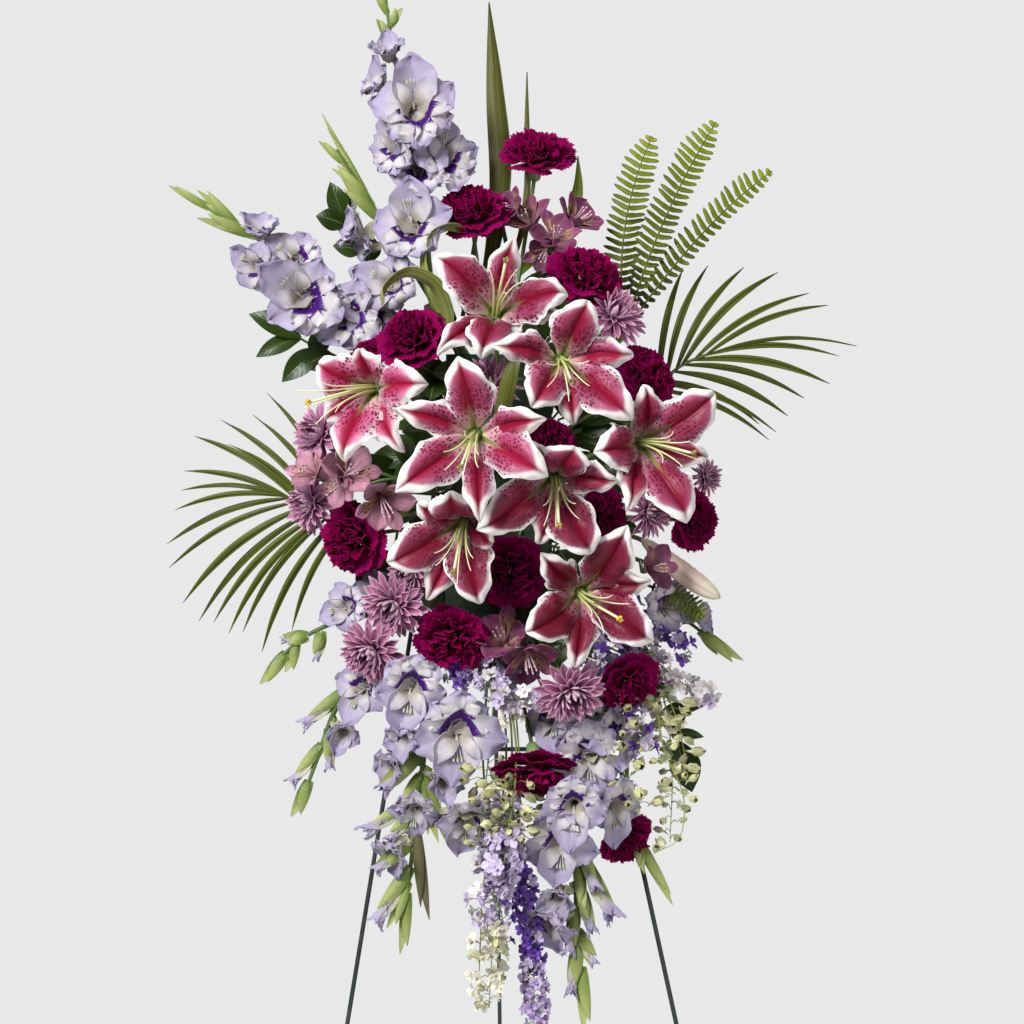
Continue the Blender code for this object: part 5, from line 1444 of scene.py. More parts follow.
def make_gladioli():
    finish_material("bract", bract_paint, 0.42)
    finish_material("gladiolus_petal", gladiolus_face, 0.5, 0.2)
    finish_material("gladiolus_petal_back", gladiolus_back, 0.5, 0.3)
    finish_material("gladiolus_bud", bud_tip_paint, 0.5)
    materials = ("gladiolus_petal", "gladiolus_petal_back", "bract", "bract", "gladiolus_bud", "stem")
    for name, spec in GLADIOLI.items():
        work = Work(name + "_spike")
        spike(work, **spec)
        if name == "gladioli_low_left":
            spike(work, forked=True, **LOW_LEFT_FORK)
        work.finish(name, materials, "gladiolus", 0.0007)
    work = Work("gladiolus_filler_right")
    spike(work, **GLADIOLUS_FILLER)
    spike(work, **GLADIOLUS_FILLER_LOW)
    work.finish(None, materials, "gladiolus", 0.0007)


ALSTROEMERIA = {
    "alstroemeria_top": [
        ((553, 262), -0.160),
        [
            ((524, 214), -0.155, 0.058, (-0.4, -0.6, 0.7)), ((583, 212), -0.165, 0.062, (0.6, -0.5, 0.6)),
            ((556, 230), -0.190, 0.056, (0.1, -0.8, 0.6)), ((544, 254), -0.175, 0.046, (-0.2, -0.8, -0.4)),
            ((508, 206), -0.150, 0.042, (-0.7, -0.5, 0.3)),
        ],
    ],
    "alstroemeria_left": [
        ((368, 488), -0.205),
        [
            ((306, 468), -0.235, 0.050, (-0.7, -0.7, 0.5)), ((352, 468), -0.262, 0.062, (0.4, -0.8, 0.4)),
            ((386, 506), -0.252, 0.062, (0.3, -0.8, -0.5)), ((336, 484), -0.245, 0.048, (-0.5, -0.8, -0.2)),
        ],
    ],
    "alstroemeria_low": [
        ((514, 644), -0.244),
        [((500, 632), -0.262, 0.064, (-0.2, -0.8, 0.6)), ((530, 662), -0.262, 0.062, (0.2, -0.7, -0.7))],
    ],
    "alstroemeria_right": [((644, 562), -0.225), [((660, 566), -0.278, 0.050, (0.6, -0.7, 0.2))]],
}


def alstroemeria_face(shade, body=None):
    look = looks()
    s, t, tint = shade.look()
    colour = shade.mix(shade.span(t, 0.25, 0.80), look.alstroemeria_pale, body or look.alstroemeria)
    side = shade.unsigned(s)
    colour = shade.over(colour, look.alstroemeria_edge, shade.span(side, 0.6, 1.0), 0.5)
    inner = shade.maths("GREATER_THAN", tint, 0.66)
    patch = shade.times(shade.times(shade.span(t, 0.22, 0.36), shade.span(t, 0.84, 0.64)), inner)
    colour = shade.over(colour, (0.50, 0.33, 0.12), patch, 0.80)
    flecks = shade.cells(shade.mapped(shade.attribute("spread"), (1, 0.25, 0)), 0.55)
    marks = shade.times(shade.span(flecks.outputs["Distance"], 0.34, 0.24), inner)
    marks = shade.times(marks, shade.times(shade.span(t, 0.24, 0.34), shade.span(t, 0.88, 0.80)))
    colour = shade.over(colour, (0.11, 0.015, 0.04), marks, 0.9)
    veins = shade.veins(7.0, 0.4)
    colour = shade.over(colour, look.alstroemeria_deep, veins["Line"], 0.7)
    blush = shade.span(shade.noise(0.10, 3, shade.attribute("spread"), (1, 0.4, 0)), 0.42, 0.62)
    colour = shade.over(colour, look.alstroemeria_edge, blush, 0.45)
    colour = shade.mottle(colour, 0.9, 50.0)
    return shade.relief(colour, veins["Height"], 0.6, 0.0008)


def alstroemeria_light_face(shade):
    return alstroemeria_face(shade, looks().alstroemeria_light)


def alstroemeria_back(shade):
    look = looks()
    t = shade.look()[1]
    colour = shade.mix(shade.span(t, 0.05, 0.5), (0.30, 0.34, 0.16), look.alstroemeria)
    return {"Base Color": shade.mottle(colour, 0.4, 50.0)}


def stamen_paint(shade):
    t = shade.look()[1]
    return {"Base Color": shade.mix(t, (0.50, 0.20, 0.34), (0.70, 0.56, 0.58))}


def alstro_flower(work, root, rim, facing, size):
    """Three broad outer petals and three narrow flecked ones, in a funnel."""
    draw = work.draw
    scale = size / 2 * 1.15
    side, up = across_of(facing)
    neck = rim - facing * scale * 0.95
    turn = draw.uniform(0, 1.0)
    for k in range(6):
        wide = k % 2 == 0
        angle = math.tau * k / 6 + turn + draw.uniform(-0.12, 0.12)
        ray = turned(side, up, angle)
        open_share = draw.uniform(0.72, 1.0)
        rise = draw.uniform(-0.05, 0.15) + 0.35 * (1 - open_share) - 0.08 * wide
        tip = rim + ray * scale * open_share + facing * scale * rise
        middle = rim - facing * scale * 0.30 + ray * scale * 0.52 * open_share
        throat = neck + facing * scale * 0.32 + ray * scale * 0.13
        line = smooth([neck - facing * scale * 0.05, throat, middle, tip])
        phase = draw.uniform(0, math.tau)
        hollow = draw.uniform(0.10, 0.22) if wide else 0.12

        def lift(s, t):
            edge = 0.06 * np.sin(8 * t + phase + 1.5 * s) * s**2 * t
            cup = hollow * s**2 * np.sin(math.pi * np.clip(t, 0, 1))
            return scale * (edge + cup - 0.04 * np.exp(-((s / 0.14) ** 2)) * t)

        def teeth(s, t):
            return 1 - (0.06 * np.exp(-((s / 0.22) ** 2)) * t**10 if wide else 0.0)

        tint = draw.uniform(0, 0.6) if wide or ray @ UP < -0.5 else draw.uniform(0.7, 1.0)
        width, outline = (0.80, OBOVATE_OUTLINE) if wide else (0.46, SPOON_OUTLINE)
        work.lay((9, 11), line, np.cross(facing, ray), scale * width, outline, lift, tint=tint, teeth=teeth)
    work.tube([root, neck, neck + facing * scale * 0.15], (0.0015, 0.0026, 0.0034), 8, slot=2)
    for k in range(6):
        swing = turned(side, up, k * 1.05)
        end = rim + facing * scale * 0.12 + swing * scale * 0.16 - UP * scale * 0.10
        bend = neck * 0.4 + rim * 0.6 + swing * scale * 0.05
        work.tube([neck, bend, end], (0.0007, 0.0006, 0.0005), 5, slot=3)
        anther = [end + facing * x for x in (0, 0.001, 0.003, 0.004)]
        work.tube(anther, (0.0005, 0.0010, 0.0010, 0.0004), 6, slot=3)


def make_alstroemeria():
    finish_material("alstroemeria_petal", alstroemeria_face, 0.45, 0.25)
    finish_material("alstroemeria_petal_back", alstroemeria_back, 0.5, 0.25)
    finish_material("alstroemeria_stamen", stamen_paint, 0.5)
    finish_material("alstroemeria_light", alstroemeria_light_face, 0.45, 0.25)
    for name, (joint, heads) in ALSTROEMERIA.items():
        work = Work(name + "_blooms")
        joint = spot(*joint)
        facing = unit(joint - FOAM_CENTRE)
        add_stem(work, joint, facing, 0.0024, 2)
        for photo, depth, size, look in heads:
            alstro_flower(
                work, joint - facing * 0.005, spot(photo, depth), unit(vec(*look)),
                size * looks().alstroemeria_width / 0.060,
            )
        front = "alstroemeria_light" if name == "alstroemeria_left" else "alstroemeria_petal"
        materials = (front, "alstroemeria_petal_back", "stem", "alstroemeria_stamen")
        work.finish(name, materials, "alstroemeria", 0.0006)


# Larkspur

# The rows of a small petal: its share of the length and its width
SMALL_ROWS = ((0.0, 0.26), (0.40, 0.86), (0.76, 1.0), (1.0, 0.10))
# The finishes of the larkspur, in the order of its materials
VIOLET, LILAC, WHITE, CREAM, POD, STALK_GREEN, PINK = range(7)
# How many more flowers the runs get than their counts say
FLOWER_FULLNESS = 1.35

# Each larkspur: its stalk, then runs of flowers as (from, to, finish, count, spread, size)
LARKSPUR = {
    "larkspur_purple": [
        [
            ((486, 700), -0.215), ((486, 790), -0.222), ((514, 862), -0.234), ((527, 905), -0.236),
            ((533, 955), -0.236), ((534, 1026), -0.232),
        ],
        "larkspur",
        [
            (0.40, 0.52, POD, 12, 0.014, 1.0), (0.50, 0.86, VIOLET, 54, 0.013, 1.0),
            (0.56, 0.84, LILAC, 8, 0.015, 0.9), (0.84, 1.0, PINK, 22, 0.016, 0.85),
            (0.84, 1.0, LILAC, 8, 0.016, 0.8),
        ],
    ],
    "larkspur_pale": [
        [
            ((512, 712), -0.252), ((516, 745), -0.262), ((506, 850), -0.272), ((494, 930), -0.272),
            ((489, 1008), -0.265),
        ],
        "larkspur_pale",
        [
            (0.14, 0.20, LILAC, 14, 0.020, 1.0), (0.19, 0.28, CREAM, 8, 0.014, 0.9),
            (0.42, 0.58, POD, 30, 0.022, 1.0), (0.55, 0.72, LILAC, 18, 0.018, 1.1),
            (0.70, 0.80, LILAC, 6, 0.014, 1.0), (0.78, 1.0, CREAM, 12, 0.015, 1.0),
            (0.80, 1.0, POD, 6, 0.014, 1.0),
        ],
    ],
    "larkspur_right": [
        [((640, 640), -0.195), ((664, 700), -0.185), ((672, 770), -0.180), ((670, 842), -0.180)], "larkspur",
        [
            (0.15, 0.40, LILAC, 20, 0.020, 1.1), (0.30, 0.56, VIOLET, 12, 0.020, 1.0),
            (0.52, 1.0, POD, 22, 0.020, 1.1), (0.5, 0.9, CREAM, 7, 0.016, 0.8),
        ],
    ],
}

# Further spires that fill the hanging part
LARKSPUR_FILLERS = {
    "larkspur_filler_left": [
        (
            [((490, 668), -0.238), ((494, 696), -0.256), ((520, 700), -0.262), ((548, 696), -0.250)],
            [(0.3, 1.0, LILAC, 20, 0.015, 1.05), (0.3, 0.9, WHITE, 10, 0.017, 1.05)],
        ),
        (
            [((478, 650), -0.225), ((462, 668), -0.240), ((452, 688), -0.244)],
            [(0.55, 1.0, VIOLET, 8, 0.010, 1.0), (0.6, 1.0, LILAC, 6, 0.012, 1.0)],
        ),
        (
            [((494, 700), -0.235), ((486, 780), -0.255), ((478, 846), -0.258)],
            [(0.62, 1.0, POD, 22, 0.022, 1.0)],
        ),
        (
            [((516, 716), -0.222), ((520, 810), -0.246), ((516, 856), -0.250)],
            [(0.72, 1.0, POD, 16, 0.022, 1.0)],
        ),
        (
            [((512, 760), -0.225), ((496, 870), -0.256), ((508, 950), -0.252)],
            [
                (0.52, 0.70, LILAC, 14, 0.018, 1.1), (0.66, 1.0, VIOLET, 12, 0.013, 0.95),
                (0.6, 0.9, LILAC, 8, 0.016, 1.0),
            ],
        ),
        (
            [((505, 780), -0.225), ((484, 880), -0.258), ((480, 950), -0.256), ((478, 1006), -0.250)],
            [
                (0.54, 0.78, LILAC, 14, 0.017, 1.1), (0.54, 0.78, WHITE, 6, 0.017, 1.1),
                (0.78, 1.0, CREAM, 7, 0.014, 1.0),
            ],
        ),
    ],
    "larkspur_filler_right": [
        (
            [((616, 668), -0.215), ((628, 705), -0.228), ((640, 755), -0.234)],
            [
                (0.30, 1.0, LILAC, 20, 0.020, 1.1), (0.35, 1.0, VIOLET, 18, 0.022, 1.0),
                (0.4, 1.0, WHITE, 4, 0.020, 0.9),
            ],
        ),
        (
            [((646, 616), -0.190), ((664, 628), -0.200), ((680, 640), -0.202), ((692, 654), -0.200)],
            [(0.50, 1.0, VIOLET, 12, 0.014, 1.0), (0.55, 1.0, LILAC, 8, 0.016, 1.1)],
        ),
        (
            [((640, 640), -0.205), ((660, 664), -0.214), ((684, 684), -0.212), ((714, 700), -0.206)],
            [(0.20, 1.0, WHITE, 22, 0.014, 1.2), (0.2, 1.0, LILAC, 10, 0.014, 1.1)],
        ),
        (
            [
                ((652, 690), -0.215), ((664, 750), -0.226), ((684, 800), -0.222), ((676, 842), -0.216),
                ((656, 852), -0.212),
            ],
            [(0.30, 0.80, POD, 22, 0.017, 1.25), (0.97, 1.0, POD, 2, 0.003, 1.1)],
        ),
        (
            [((628, 700), -0.222), ((622, 758), -0.238), ((640, 812), -0.232)],
            [(0.42, 1.0, POD, 26, 0.020, 1.3), (0.4, 0.8, CREAM, 6, 0.018, 1.0)],
        ),
        (
            [((664, 690), -0.208), ((682, 740), -0.214), ((686, 780), -0.210)],
            [(0.40, 1.0, POD, 14, 0.014, 1.2), (0.4, 0.8, CREAM, 5, 0.012, 0.9)],
        ),
    ],
}


def larkspur_paint(outer, inner, lined):
    def paint(shade):
        look = looks()
        t = shade.look()[1]
        colour = shade.mix(shade.span(t, 0.02, 0.50), getattr(look, inner), getattr(look, outer))
        streak = shade.veins(2.0, 0.35)
        colour = shade.over(colour, getattr(look, lined), streak["Line"], 0.35)
        colour = shade.mottle(colour, 1.5, 25.0)
        return shade.relief(colour, streak["Height"], 0.3, 0.0004)

    return paint


def stalk_paint(shade):
    t = shade.look()[1]
    colour = shade.mix(t, (0.10, 0.15, 0.025), (0.26, 0.32, 0.08))
    return {"Base Color": shade.mottle(colour, 0.8, 30.0)}


def small_petal(work, line, side, width, cup, tint):
    """A small closed petal, three points across and four along, with two inner points for its back."""
    shares = np.array([row[0] for row in SMALL_ROWS])
    place, way = line(shares)
    over = unit(side - way * (way @ side)[:, None])
    face = np.cross(way, over)
    points, look = [], []
    for row, (t, wide) in enumerate(SMALL_ROWS):
        for s in (-1, 0, 1):
            points.append(place[row] + over[row] * (s * wide * width / 2) + face[row] * (cup * s * s * wide))
            look.append((s, t, tint))
    for inner in (4, 7):
        points.append(points[inner] - face[1] * width * 0.05)
        look.append(look[inner])
    front = np.array([(i, i + 1, i + 4, i + 3) for row in (0, 3, 6) for i in (row, row + 1)])
    back = np.where(front == 4, 12, np.where(front == 7, 13, front))[:, ::-1]
    look = np.array(look, float)
    spread = look * (width * 500, np.linalg.norm(place[-1] - place[0]) * 1000, 0) + (0, 0, 1)
    work.add("solid", np.array(points), [front[:, ::-1], back[:, ::-1]], spread, look, 0)


def larkspur_floret(scale, name, petals=5):
    """A small flower that looks along +Z: broad overlapping petals, two small middle ones and a spur."""
    one = Work(name)
    draw = one.draw
    for k in range(petals):
        angle = math.tau * k / petals + draw.uniform(-0.3, 0.3)
        ray = vec(math.cos(angle), math.sin(angle), 0)
        reach = draw.uniform(0.85, 1.2)
        tip = ray * scale * reach + UP * scale * draw.uniform(-0.1, 0.6)
        line = bezier(
            -UP * scale * 0.15, ray * scale * 0.35 - UP * scale * 0.05,
            ray * scale * 0.75 * reach + UP * scale * 0.15, tip,
        )
        side = np.cross(UP, ray) + UP * draw.uniform(-0.45, 0.45)
        small_petal(
            one, line, side, scale * draw.uniform(0.56, 0.86), scale * draw.uniform(0.0, 0.26), draw.uniform()
        )
    for k in range(2):
        swing = vec(math.cos(3 * k + 1), math.sin(3 * k + 1), 0) * scale
        middle = bezier(
            vec(0, 0, 0), UP * scale * 0.2, UP * scale * 0.35 + swing * 0.1, UP * scale * 0.55 + swing * 0.3
        )
        small_petal(one, middle, np.cross(UP, swing), scale * 0.5, scale * 0.1, draw.uniform())
    back = [
        UP * scale * 0.02, UP * scale * -0.2 - vec(0, 0.1, 0) * scale, vec(0, -0.35, -0.75) * scale,
        vec(0, -0.2, -1.05) * scale,
    ]
    one.tube(back, np.array((0.10, 0.14, 0.09, 0.03)) * scale, 4, slot=0)
    return one


def larkspur_pod(scale, name):
    """A plump unopened flower that points along +Z: four petals closed over each other, and a spur."""
    one = Work(name)
    draw = one.draw
    for k in range(4):
        angle = math.tau * k / 4 + draw.uniform(-0.2, 0.2)
        ray = vec(math.cos(angle), math.sin(angle), 0) * scale
        tip = ray * draw.uniform(0.05, 0.35) + UP * scale * draw.uniform(1.35, 1.75)
        line = bezier(ray * 0.04, ray * 0.50 + UP * scale * 0.15, ray * 0.52 + UP * scale * 0.95, tip)
        small_petal(
            one, line, np.cross(UP, ray), scale * draw.uniform(0.80, 1.0), scale * 0.20, draw.uniform()
        )
    back = [UP * scale * 0.1, vec(0.1, 0, -0.3) * scale, vec(0.35, 0, -0.75) * scale]
    one.tube(back, np.array((0.18, 0.12, 0.04)) * scale, 4, slot=0)
    return one


def aim(direction, spin):
    """A turn that sends +Z to a direction, after a spin round it."""
    side, up = across_of(direction)
    across = turned(side, up, spin)
    return np.stack((across, np.cross(direction, across), direction), axis=1)


def spire(work, points, runs, flowers, pods):
    """A stalk with runs of small flowers on short stalks, wound round it."""
    draw = work.draw
    steps = np.linspace(0, 1, 36)
    work.tube(smooth(points)(steps)[0], STEM * (1 - 0.78 * steps**0.5), 6, slot=STALK_GREEN)
    for first, last, finish, count, spread, grow in runs:
        kinds = pods if finish == POD else flowers
        count = count if finish == POD else round(count * FLOWER_FULLNESS)
        for number in range(count):
            share = first + (last - first) * (number + 0.5) / count
            root = along(points, share)
            way = unit(along(points, min(1, share + 0.01)) - along(points, share - 0.01))
            side, up = across_of(way)
            angle = number * GOLDEN + draw.uniform(-0.5, 0.5)
            off = turned(side, up, angle)
            look = unit(off + FORWARD * 0.35 + draw.uniform(-0.5, 0.5, 3))
            fade = 1 - 0.25 * number / count
            rim = root + off * spread * fade * draw.uniform(0.25, 1.0) + look * 0.003 + way * draw.uniform(
                -0.004, 0.004
            )
            scale = grow * fade * draw.uniform(0.75, 1.2)
            turn = aim(look, draw.uniform(0, 6)) * scale
            work.copy(kinds[number % len(kinds)], turn, rim, finish, draw.uniform())
            work.tube(
                [root, root * 0.5 + rim * 0.5 - way * 0.003, rim - look * 0.001], 0.0005, 3, slot=STALK_GREEN
            )


def make_larkspurs():
    scale = looks().larkspur_width / 2
    petals = {
        "violet": ("larkspur", "larkspur_deep", "larkspur_deep", 0.15),
        "lilac": ("larkspur_light", "larkspur_white", "larkspur", 0.2),
        "white": ("larkspur_white", "larkspur_cream", "larkspur_light", 0.2),
        "cream": ("larkspur_cream", "larkspur_white", "larkspur_green", 0.2),
        "pod": ("larkspur_green", "larkspur_cream", "larkspur_brown", 0.2),
        "pink": ("larkspur_pink", "larkspur", "larkspur", 0.2),
    }
    for name, (outer, inner, lined, shine) in petals.items():
        finish_material("larkspur_" + name, larkspur_paint(outer, inner, lined), 0.5, shine)
    finish_material("larkspur_stalk", stalk_paint, 0.5, 0.3)
    materials = ["larkspur_" + name for name in ("violet", "lilac", "white", "cream", "pod", "stalk", "pink")]
    flowers = [larkspur_floret(scale * 0.90, "floret_" + str(k), 5 + k % 2) for k in range(5)]
    pods = [larkspur_pod(scale * 0.92, "pod_" + str(k)) for k in range(3)]
    for name, (route, slot, runs) in LARKSPUR.items():
        work = Work(name + "_spire")
        spire(work, rooted(spots(route)), runs, flowers, pods)
        work.finish(name, materials, slot)
    for name, spires in LARKSPUR_FILLERS.items():
        work = Work(name)
        for route, runs in spires:
            spire(work, rooted(spots(route)), runs, flowers, pods)
        work.finish(None, materials, "larkspur_pale")


# Foliage

LEAF_OUTLINE = steps_of(
    (0, 0.10), (0.15, 0.50), (0.35, 0.92), (0.5, 1.0), (0.7, 0.80), (0.88, 0.38), (1, 0.02)
)
NARROW_OUTLINE = steps_of((0, 0.30), (0.15, 0.70), (0.4, 1.0), (0.7, 0.80), (0.9, 0.34), (1, 0.03))
PINNA_OUTLINE = steps_of((0, 0.55), (0.12, 1.0), (0.5, 0.92), (0.85, 0.66), (1, 0.20))


def leaf_paint(dark, light, rib, count=9.0, slant=2.2):
    """Leaf green with a midrib and slanting side veins."""

    def paint(shade):
        s, t, _ = shade.look()
        colour = shade.mottle(dark, 0.9, 24.0)
        side = shade.unsigned(s)
        fan = shade.minus(shade.times(t, count), shade.times(side, slant))
        wave = shade.unsigned(shade.maths("SINE", shade.times(fan, math.pi)))
        colour = shade.over(colour, light, shade.span(wave, 0.30, 0.0), 0.35)
        colour = shade.mix(shade.span(side, 0.09, 0.03), colour, rib)
        height = shade.plus(shade.span(side, 0.0, 0.14), shade.times(wave, 0.25))
        return shade.relief(colour, height, 0.5, 0.0008)

    return paint


def strap_paint(dark, light, count):
    """A long blade with fine stripes that run its length."""

    def paint(shade):
        s = shade.look()[0]
        stripes = shade.noise(1.0, 2, shade.attribute("look"), (count, 0.4, 1))
        colour = shade.mix(shade.span(stripes, 0.35, 0.65), dark, light)
        colour = shade.mottle(colour, 0.6, 16.0)
        colour = shade.over(colour, light, shade.span(shade.unsigned(s), 0.10, 0.02), 0.5)
        return shade.relief(colour, stripes, 0.4, 0.0008)

    return paint


def make_leaf_finishes():
    finish_material("stem", stem_paint, 0.5)
    finish_material(
        "leaf_dark", leaf_paint((0.017, 0.036, 0.003), (0.042, 0.072, 0.009), (0.085, 0.115, 0.028)), 0.34,
        0.28,
    )
    finish_material(
        "leaf_under", leaf_paint((0.070, 0.100, 0.030), (0.100, 0.140, 0.045), (0.14, 0.18, 0.06)), 0.5
    )
    finish_material("palm", strap_paint((0.015, 0.021, 0.001), (0.100, 0.120, 0.014), 4), 0.42, 0.14)
    finish_material("strap", strap_paint((0.042, 0.048, 0.004), (0.105, 0.112, 0.018), 9), 0.42, 0.22)
    finish_material("strap_light", strap_paint((0.16, 0.19, 0.036), (0.32, 0.35, 0.10), 12), 0.42, 0.22)
    finish_material("strap_dark", strap_paint((0.050, 0.062, 0.006), (0.110, 0.125, 0.018), 14), 0.38, 0.35)
    finish_material("strap_bright", strap_paint((0.130, 0.200, 0.006), (0.220, 0.300, 0.016), 6), 0.38, 0.35)
    finish_material("fern_blade", fern_paint, 0.45, 0.2)


PALMS = {
    "palm_right": [
        [((640, 404), -0.150), ((664, 380), -0.146), ((682, 365), -0.143), ((708, 354), -0.140)],
        [
            ((683, 268), 0.30, 1.0), ((708, 265), 0.44, 1.0), ((744, 267), 0.58, 1.05),
            ((778, 272), 0.67, 1.1), ((809, 293), 0.82, 0.9), ((828, 305), 0.97, 0.85),
            ((857, 346), 1.0, 0.55), ((839, 356), 0.96, 0.8), ((830, 384), 0.82, 1.15),
            ((804, 398), 0.68, 0.95), ((788, 416), 0.55, 1.1), ((759, 424), 0.40, 0.8),
            ((776, 432), 0.34, 0.8), ((769, 440), 0.25, 0.8),
        ],
    ],
    "palm_left": [
        [((352, 520), -0.150), ((318, 516), -0.145), ((286, 496), -0.140)],
        [
            ((267, 393), 0.15, 0.8), ((253, 415), 0.25, 0.8), ((221, 420), 0.40, 0.9),
            ((228, 444), 0.50, 0.7), ((194, 436), 0.65, 1.05), ((184, 471), 0.85, 0.9),
            ((182, 490), 0.95, 0.7), ((175, 510), 1.0, 0.8), ((167, 544), 0.95, 0.9),
            ((169, 568), 0.85, 0.85), ((183, 603), 0.72, 1.15), ((199, 621), 0.60, 1.0),
            ((214, 622), 0.50, 1.05), ((229, 633), 0.42, 1.0), ((243, 632), 0.34, 0.95),
            ((262, 652), 0.20, 1.0), ((292, 630), 0.05, 0.9),
        ],
    ],
}


def make_palms():
    for name, (rachis, leaflets) in PALMS.items():
        work = Work(name + "_fan")
        points = spots(rachis)
        line = rooted(points)
        work.tube(run(smooth(line), 20), np.linspace(0.0030, 0.0016, 20), 8)
        for tip_photo, share, wide in leaflets:
            root = along(points, share)
            tip = spot(tip_photo, rachis[-1][1] + 0.03)
            span = tip - root
            long = np.linalg.norm(span)
            ahead = span / long
            arch = unit(UP - ahead * ahead[2]) * 0.15 * long + vec(0, -0.012, 0)
            stops = [root + span * a + arch * b for a, b in ((0.25, 0.36), (0.5, 0.5), (0.78, 0.33))]
            side = unit(np.cross(unit(span), vec(0.15, -1, 0.1)))
            fold = work.draw.uniform(0.7, 1.3)

            def lift(s, t):
                keel = -0.0016 * fold * (1 - np.abs(s)) * (1 - t) ** 0.3
                return keel + 0.0006 * np.sin(9 * t + fold * 5) * s

            width = looks().palm_leaflet_width * wide
            work.lay((6, 20), smooth([root, *stops, tip]), side, width, NARROW_OUTLINE, lift)
        work.finish(name, ("palm", "palm", "stem"), "leaf", 0.0006)


def fern_paint(shade):
    """Fern green: painted shade that darkens it low on the frond, and its own yellow green at the tip."""
    s, t, tint = shade.look()
    stops = (
        (0.0, (0.016, 0.022, 0.001)), (0.4, (0.066, 0.088, 0.002)), (0.75, (0.128, 0.165, 0.004)),
        (1.0, (0.25, 0.29, 0.02)),
    )
    # The ramp runs from painted shade low on the frond to the frond's own yellow green at its tip
    colour = shade.ramp(tint, stops)
    colour = shade.mix(shade.span(shade.noise(45, 2), 0.45, 0.70, 0.0, 0.45), colour, (0.18, 0.23, 0.02))
    side = shade.unsigned(s)
    colour = shade.mix(shade.span(side, 0.5, 1.0, 0.0, 0.5), colour, (0.045, 0.062, 0.002))
    height = shade.times(shade.maths("SINE", shade.times(t, 40.0)), side)
    return shade.relief(colour, height, 0.3, 0.0005)


def fern_frond(work, points, pairs, width, start, rib, sides=(1.0, 1.0)):
    """A rib with slender blunt leaflets in pairs, shorter at both ends, each a little curled."""
    draw = work.draw
    line = smooth(points)
    work.tube(run(line, 26), np.linspace(rib, rib * 0.5, 26), 6, tint=0.5)
    gap = (1 - start) * line.length / pairs

    def lift(s, t):
        return 0.0008 * s**2 + 0.0004 * np.sin(9 * t)

    for i in range(pairs):
        share = (i + 0.5) / pairs
        place, way = (value[0] for value in line(np.array([start + (1 - start) * share])))
        side = unit(np.cross(way, FORWARD))
        grow = min(1, 0.42 + 2.0 * share) * (1 - 0.80 * max(0, (share - 0.80) / 0.20) ** 1.6)
        for hand, reach in zip((-1, 1), sides):
            long = width / 2 * grow * reach * draw.uniform(0.90, 1.06)
            out = unit(side * hand + way * draw.uniform(0.16, 0.34) + FORWARD * draw.uniform(-0.25, 0.15))
            curl = FORWARD * long * draw.uniform(-0.12, 0.14) + way * long * draw.uniform(0.02, 0.12)
            middle, tip = place + out * long * 0.7 + curl * 0.4, place + out * long + curl
            blade = bezier(place - out * rib * 0.5, place + out * long * 0.35, middle, tip)
            tint = min(1, max(0, share * 0.95 + draw.uniform(-0.08, 0.08)))
            work.lay((4, 6), blade, way, min(gap * 0.62, 0.0052), PINNA_OUTLINE, lift, tint=tint)


def make_ferns():
    materials = ("fern_blade",) * 3
    work = Work("fern_fronds_cut")
    base = spot((626, 330), -0.150)
    add_stem(work, base, unit(vec(0.35, -0.1, 0.9)), 0.0026)
    tips = (
        ((652, 136), -0.120, (-0.016, 0, 0), 25, (1.0, 0.95)),
        ((716, 122), -0.130, (-0.010, -0.01, 0), 28, (1.05, 0.75)),
        ((772, 171), -0.120, (0.0, -0.01, 0.014), 25, (0.95, 0.55)),
    )
    for photo, depth, sag, pairs, sides in tips:
        points = arc(base, spot(photo, depth), vec(*sag), 6)
        fern_frond(work, points, pairs, looks().fern_frond_width, 0.08, 0.0014, sides)
    work.finish("fern_fronds", materials, "fern", 0.0006)
    work = Work("fern_small_cut")
    base = spot((650, 586), -0.195)
    facing = unit(vec(0.5, -0.6, -0.2))
    add_stem(work, base + facing * 0.002, facing, 0.0018)
    fern_frond(work, arc(base, spot((704, 618), -0.215), vec(0, -0.004, 0.006), 4), 14, 0.026, 0.02, 0.0011)
    work.finish("fern_small", materials, "fern", 0.0006)


def arc(start, end, sag, count):
    return [
        start + (end - start) * (i / count) + sag * (
            4 * (i / count) * (1 - i / count)
        ) for i in range(count + 1)
    ]


def strap(work, route, widths, side, cup, foot=(), slot=0):
    """A long blade through the places of a route, with its widths from foot to tip."""
    wide = max(widths)
    shares = np.linspace(0, 1, len(widths))
    outline = steps_of(*[(a, max(w, 0.0006) / wide) for a, w in zip(shares, widths)])

    def lift(s, t):
        rib = 0.10 * np.exp(-((s / 0.12) ** 2))
        return wide / 2 * (cup * s**2 * 1.4 - rib + 0.05 * np.sin(8 * t + 3 * s))

    work.lay((8, 36), smooth([*foot, *spots(route)]), side, wide, outline, lift, slot=slot)


# Each sword leaf: its route, its widths from foot to tip, and the place of its material
SWORDS = (
    ([((478, 306), -0.120), ((492, 250), -0.116), ((500, 185), -0.115), ((495, 90), -0.110),
      ((489, 2), -0.110)],
     [0.005, 0.018, 0.024, 0.017, 0], 0),
    ([((479, 306), -0.120), ((516, 250), -0.112), ((527, 190), -0.112), ((527, 130), -0.108),
      ((527, 72), -0.108)],
     [0.004, 0.006, 0.007, 0.006, 0], 0),
    ([((480, 306), -0.119), ((536, 256), -0.108), ((572, 215), -0.118), ((578, 188), -0.116),
      ((578, 156), -0.116)],
     [0.004, 0.008, 0.012, 0.014, 0], 3),
)
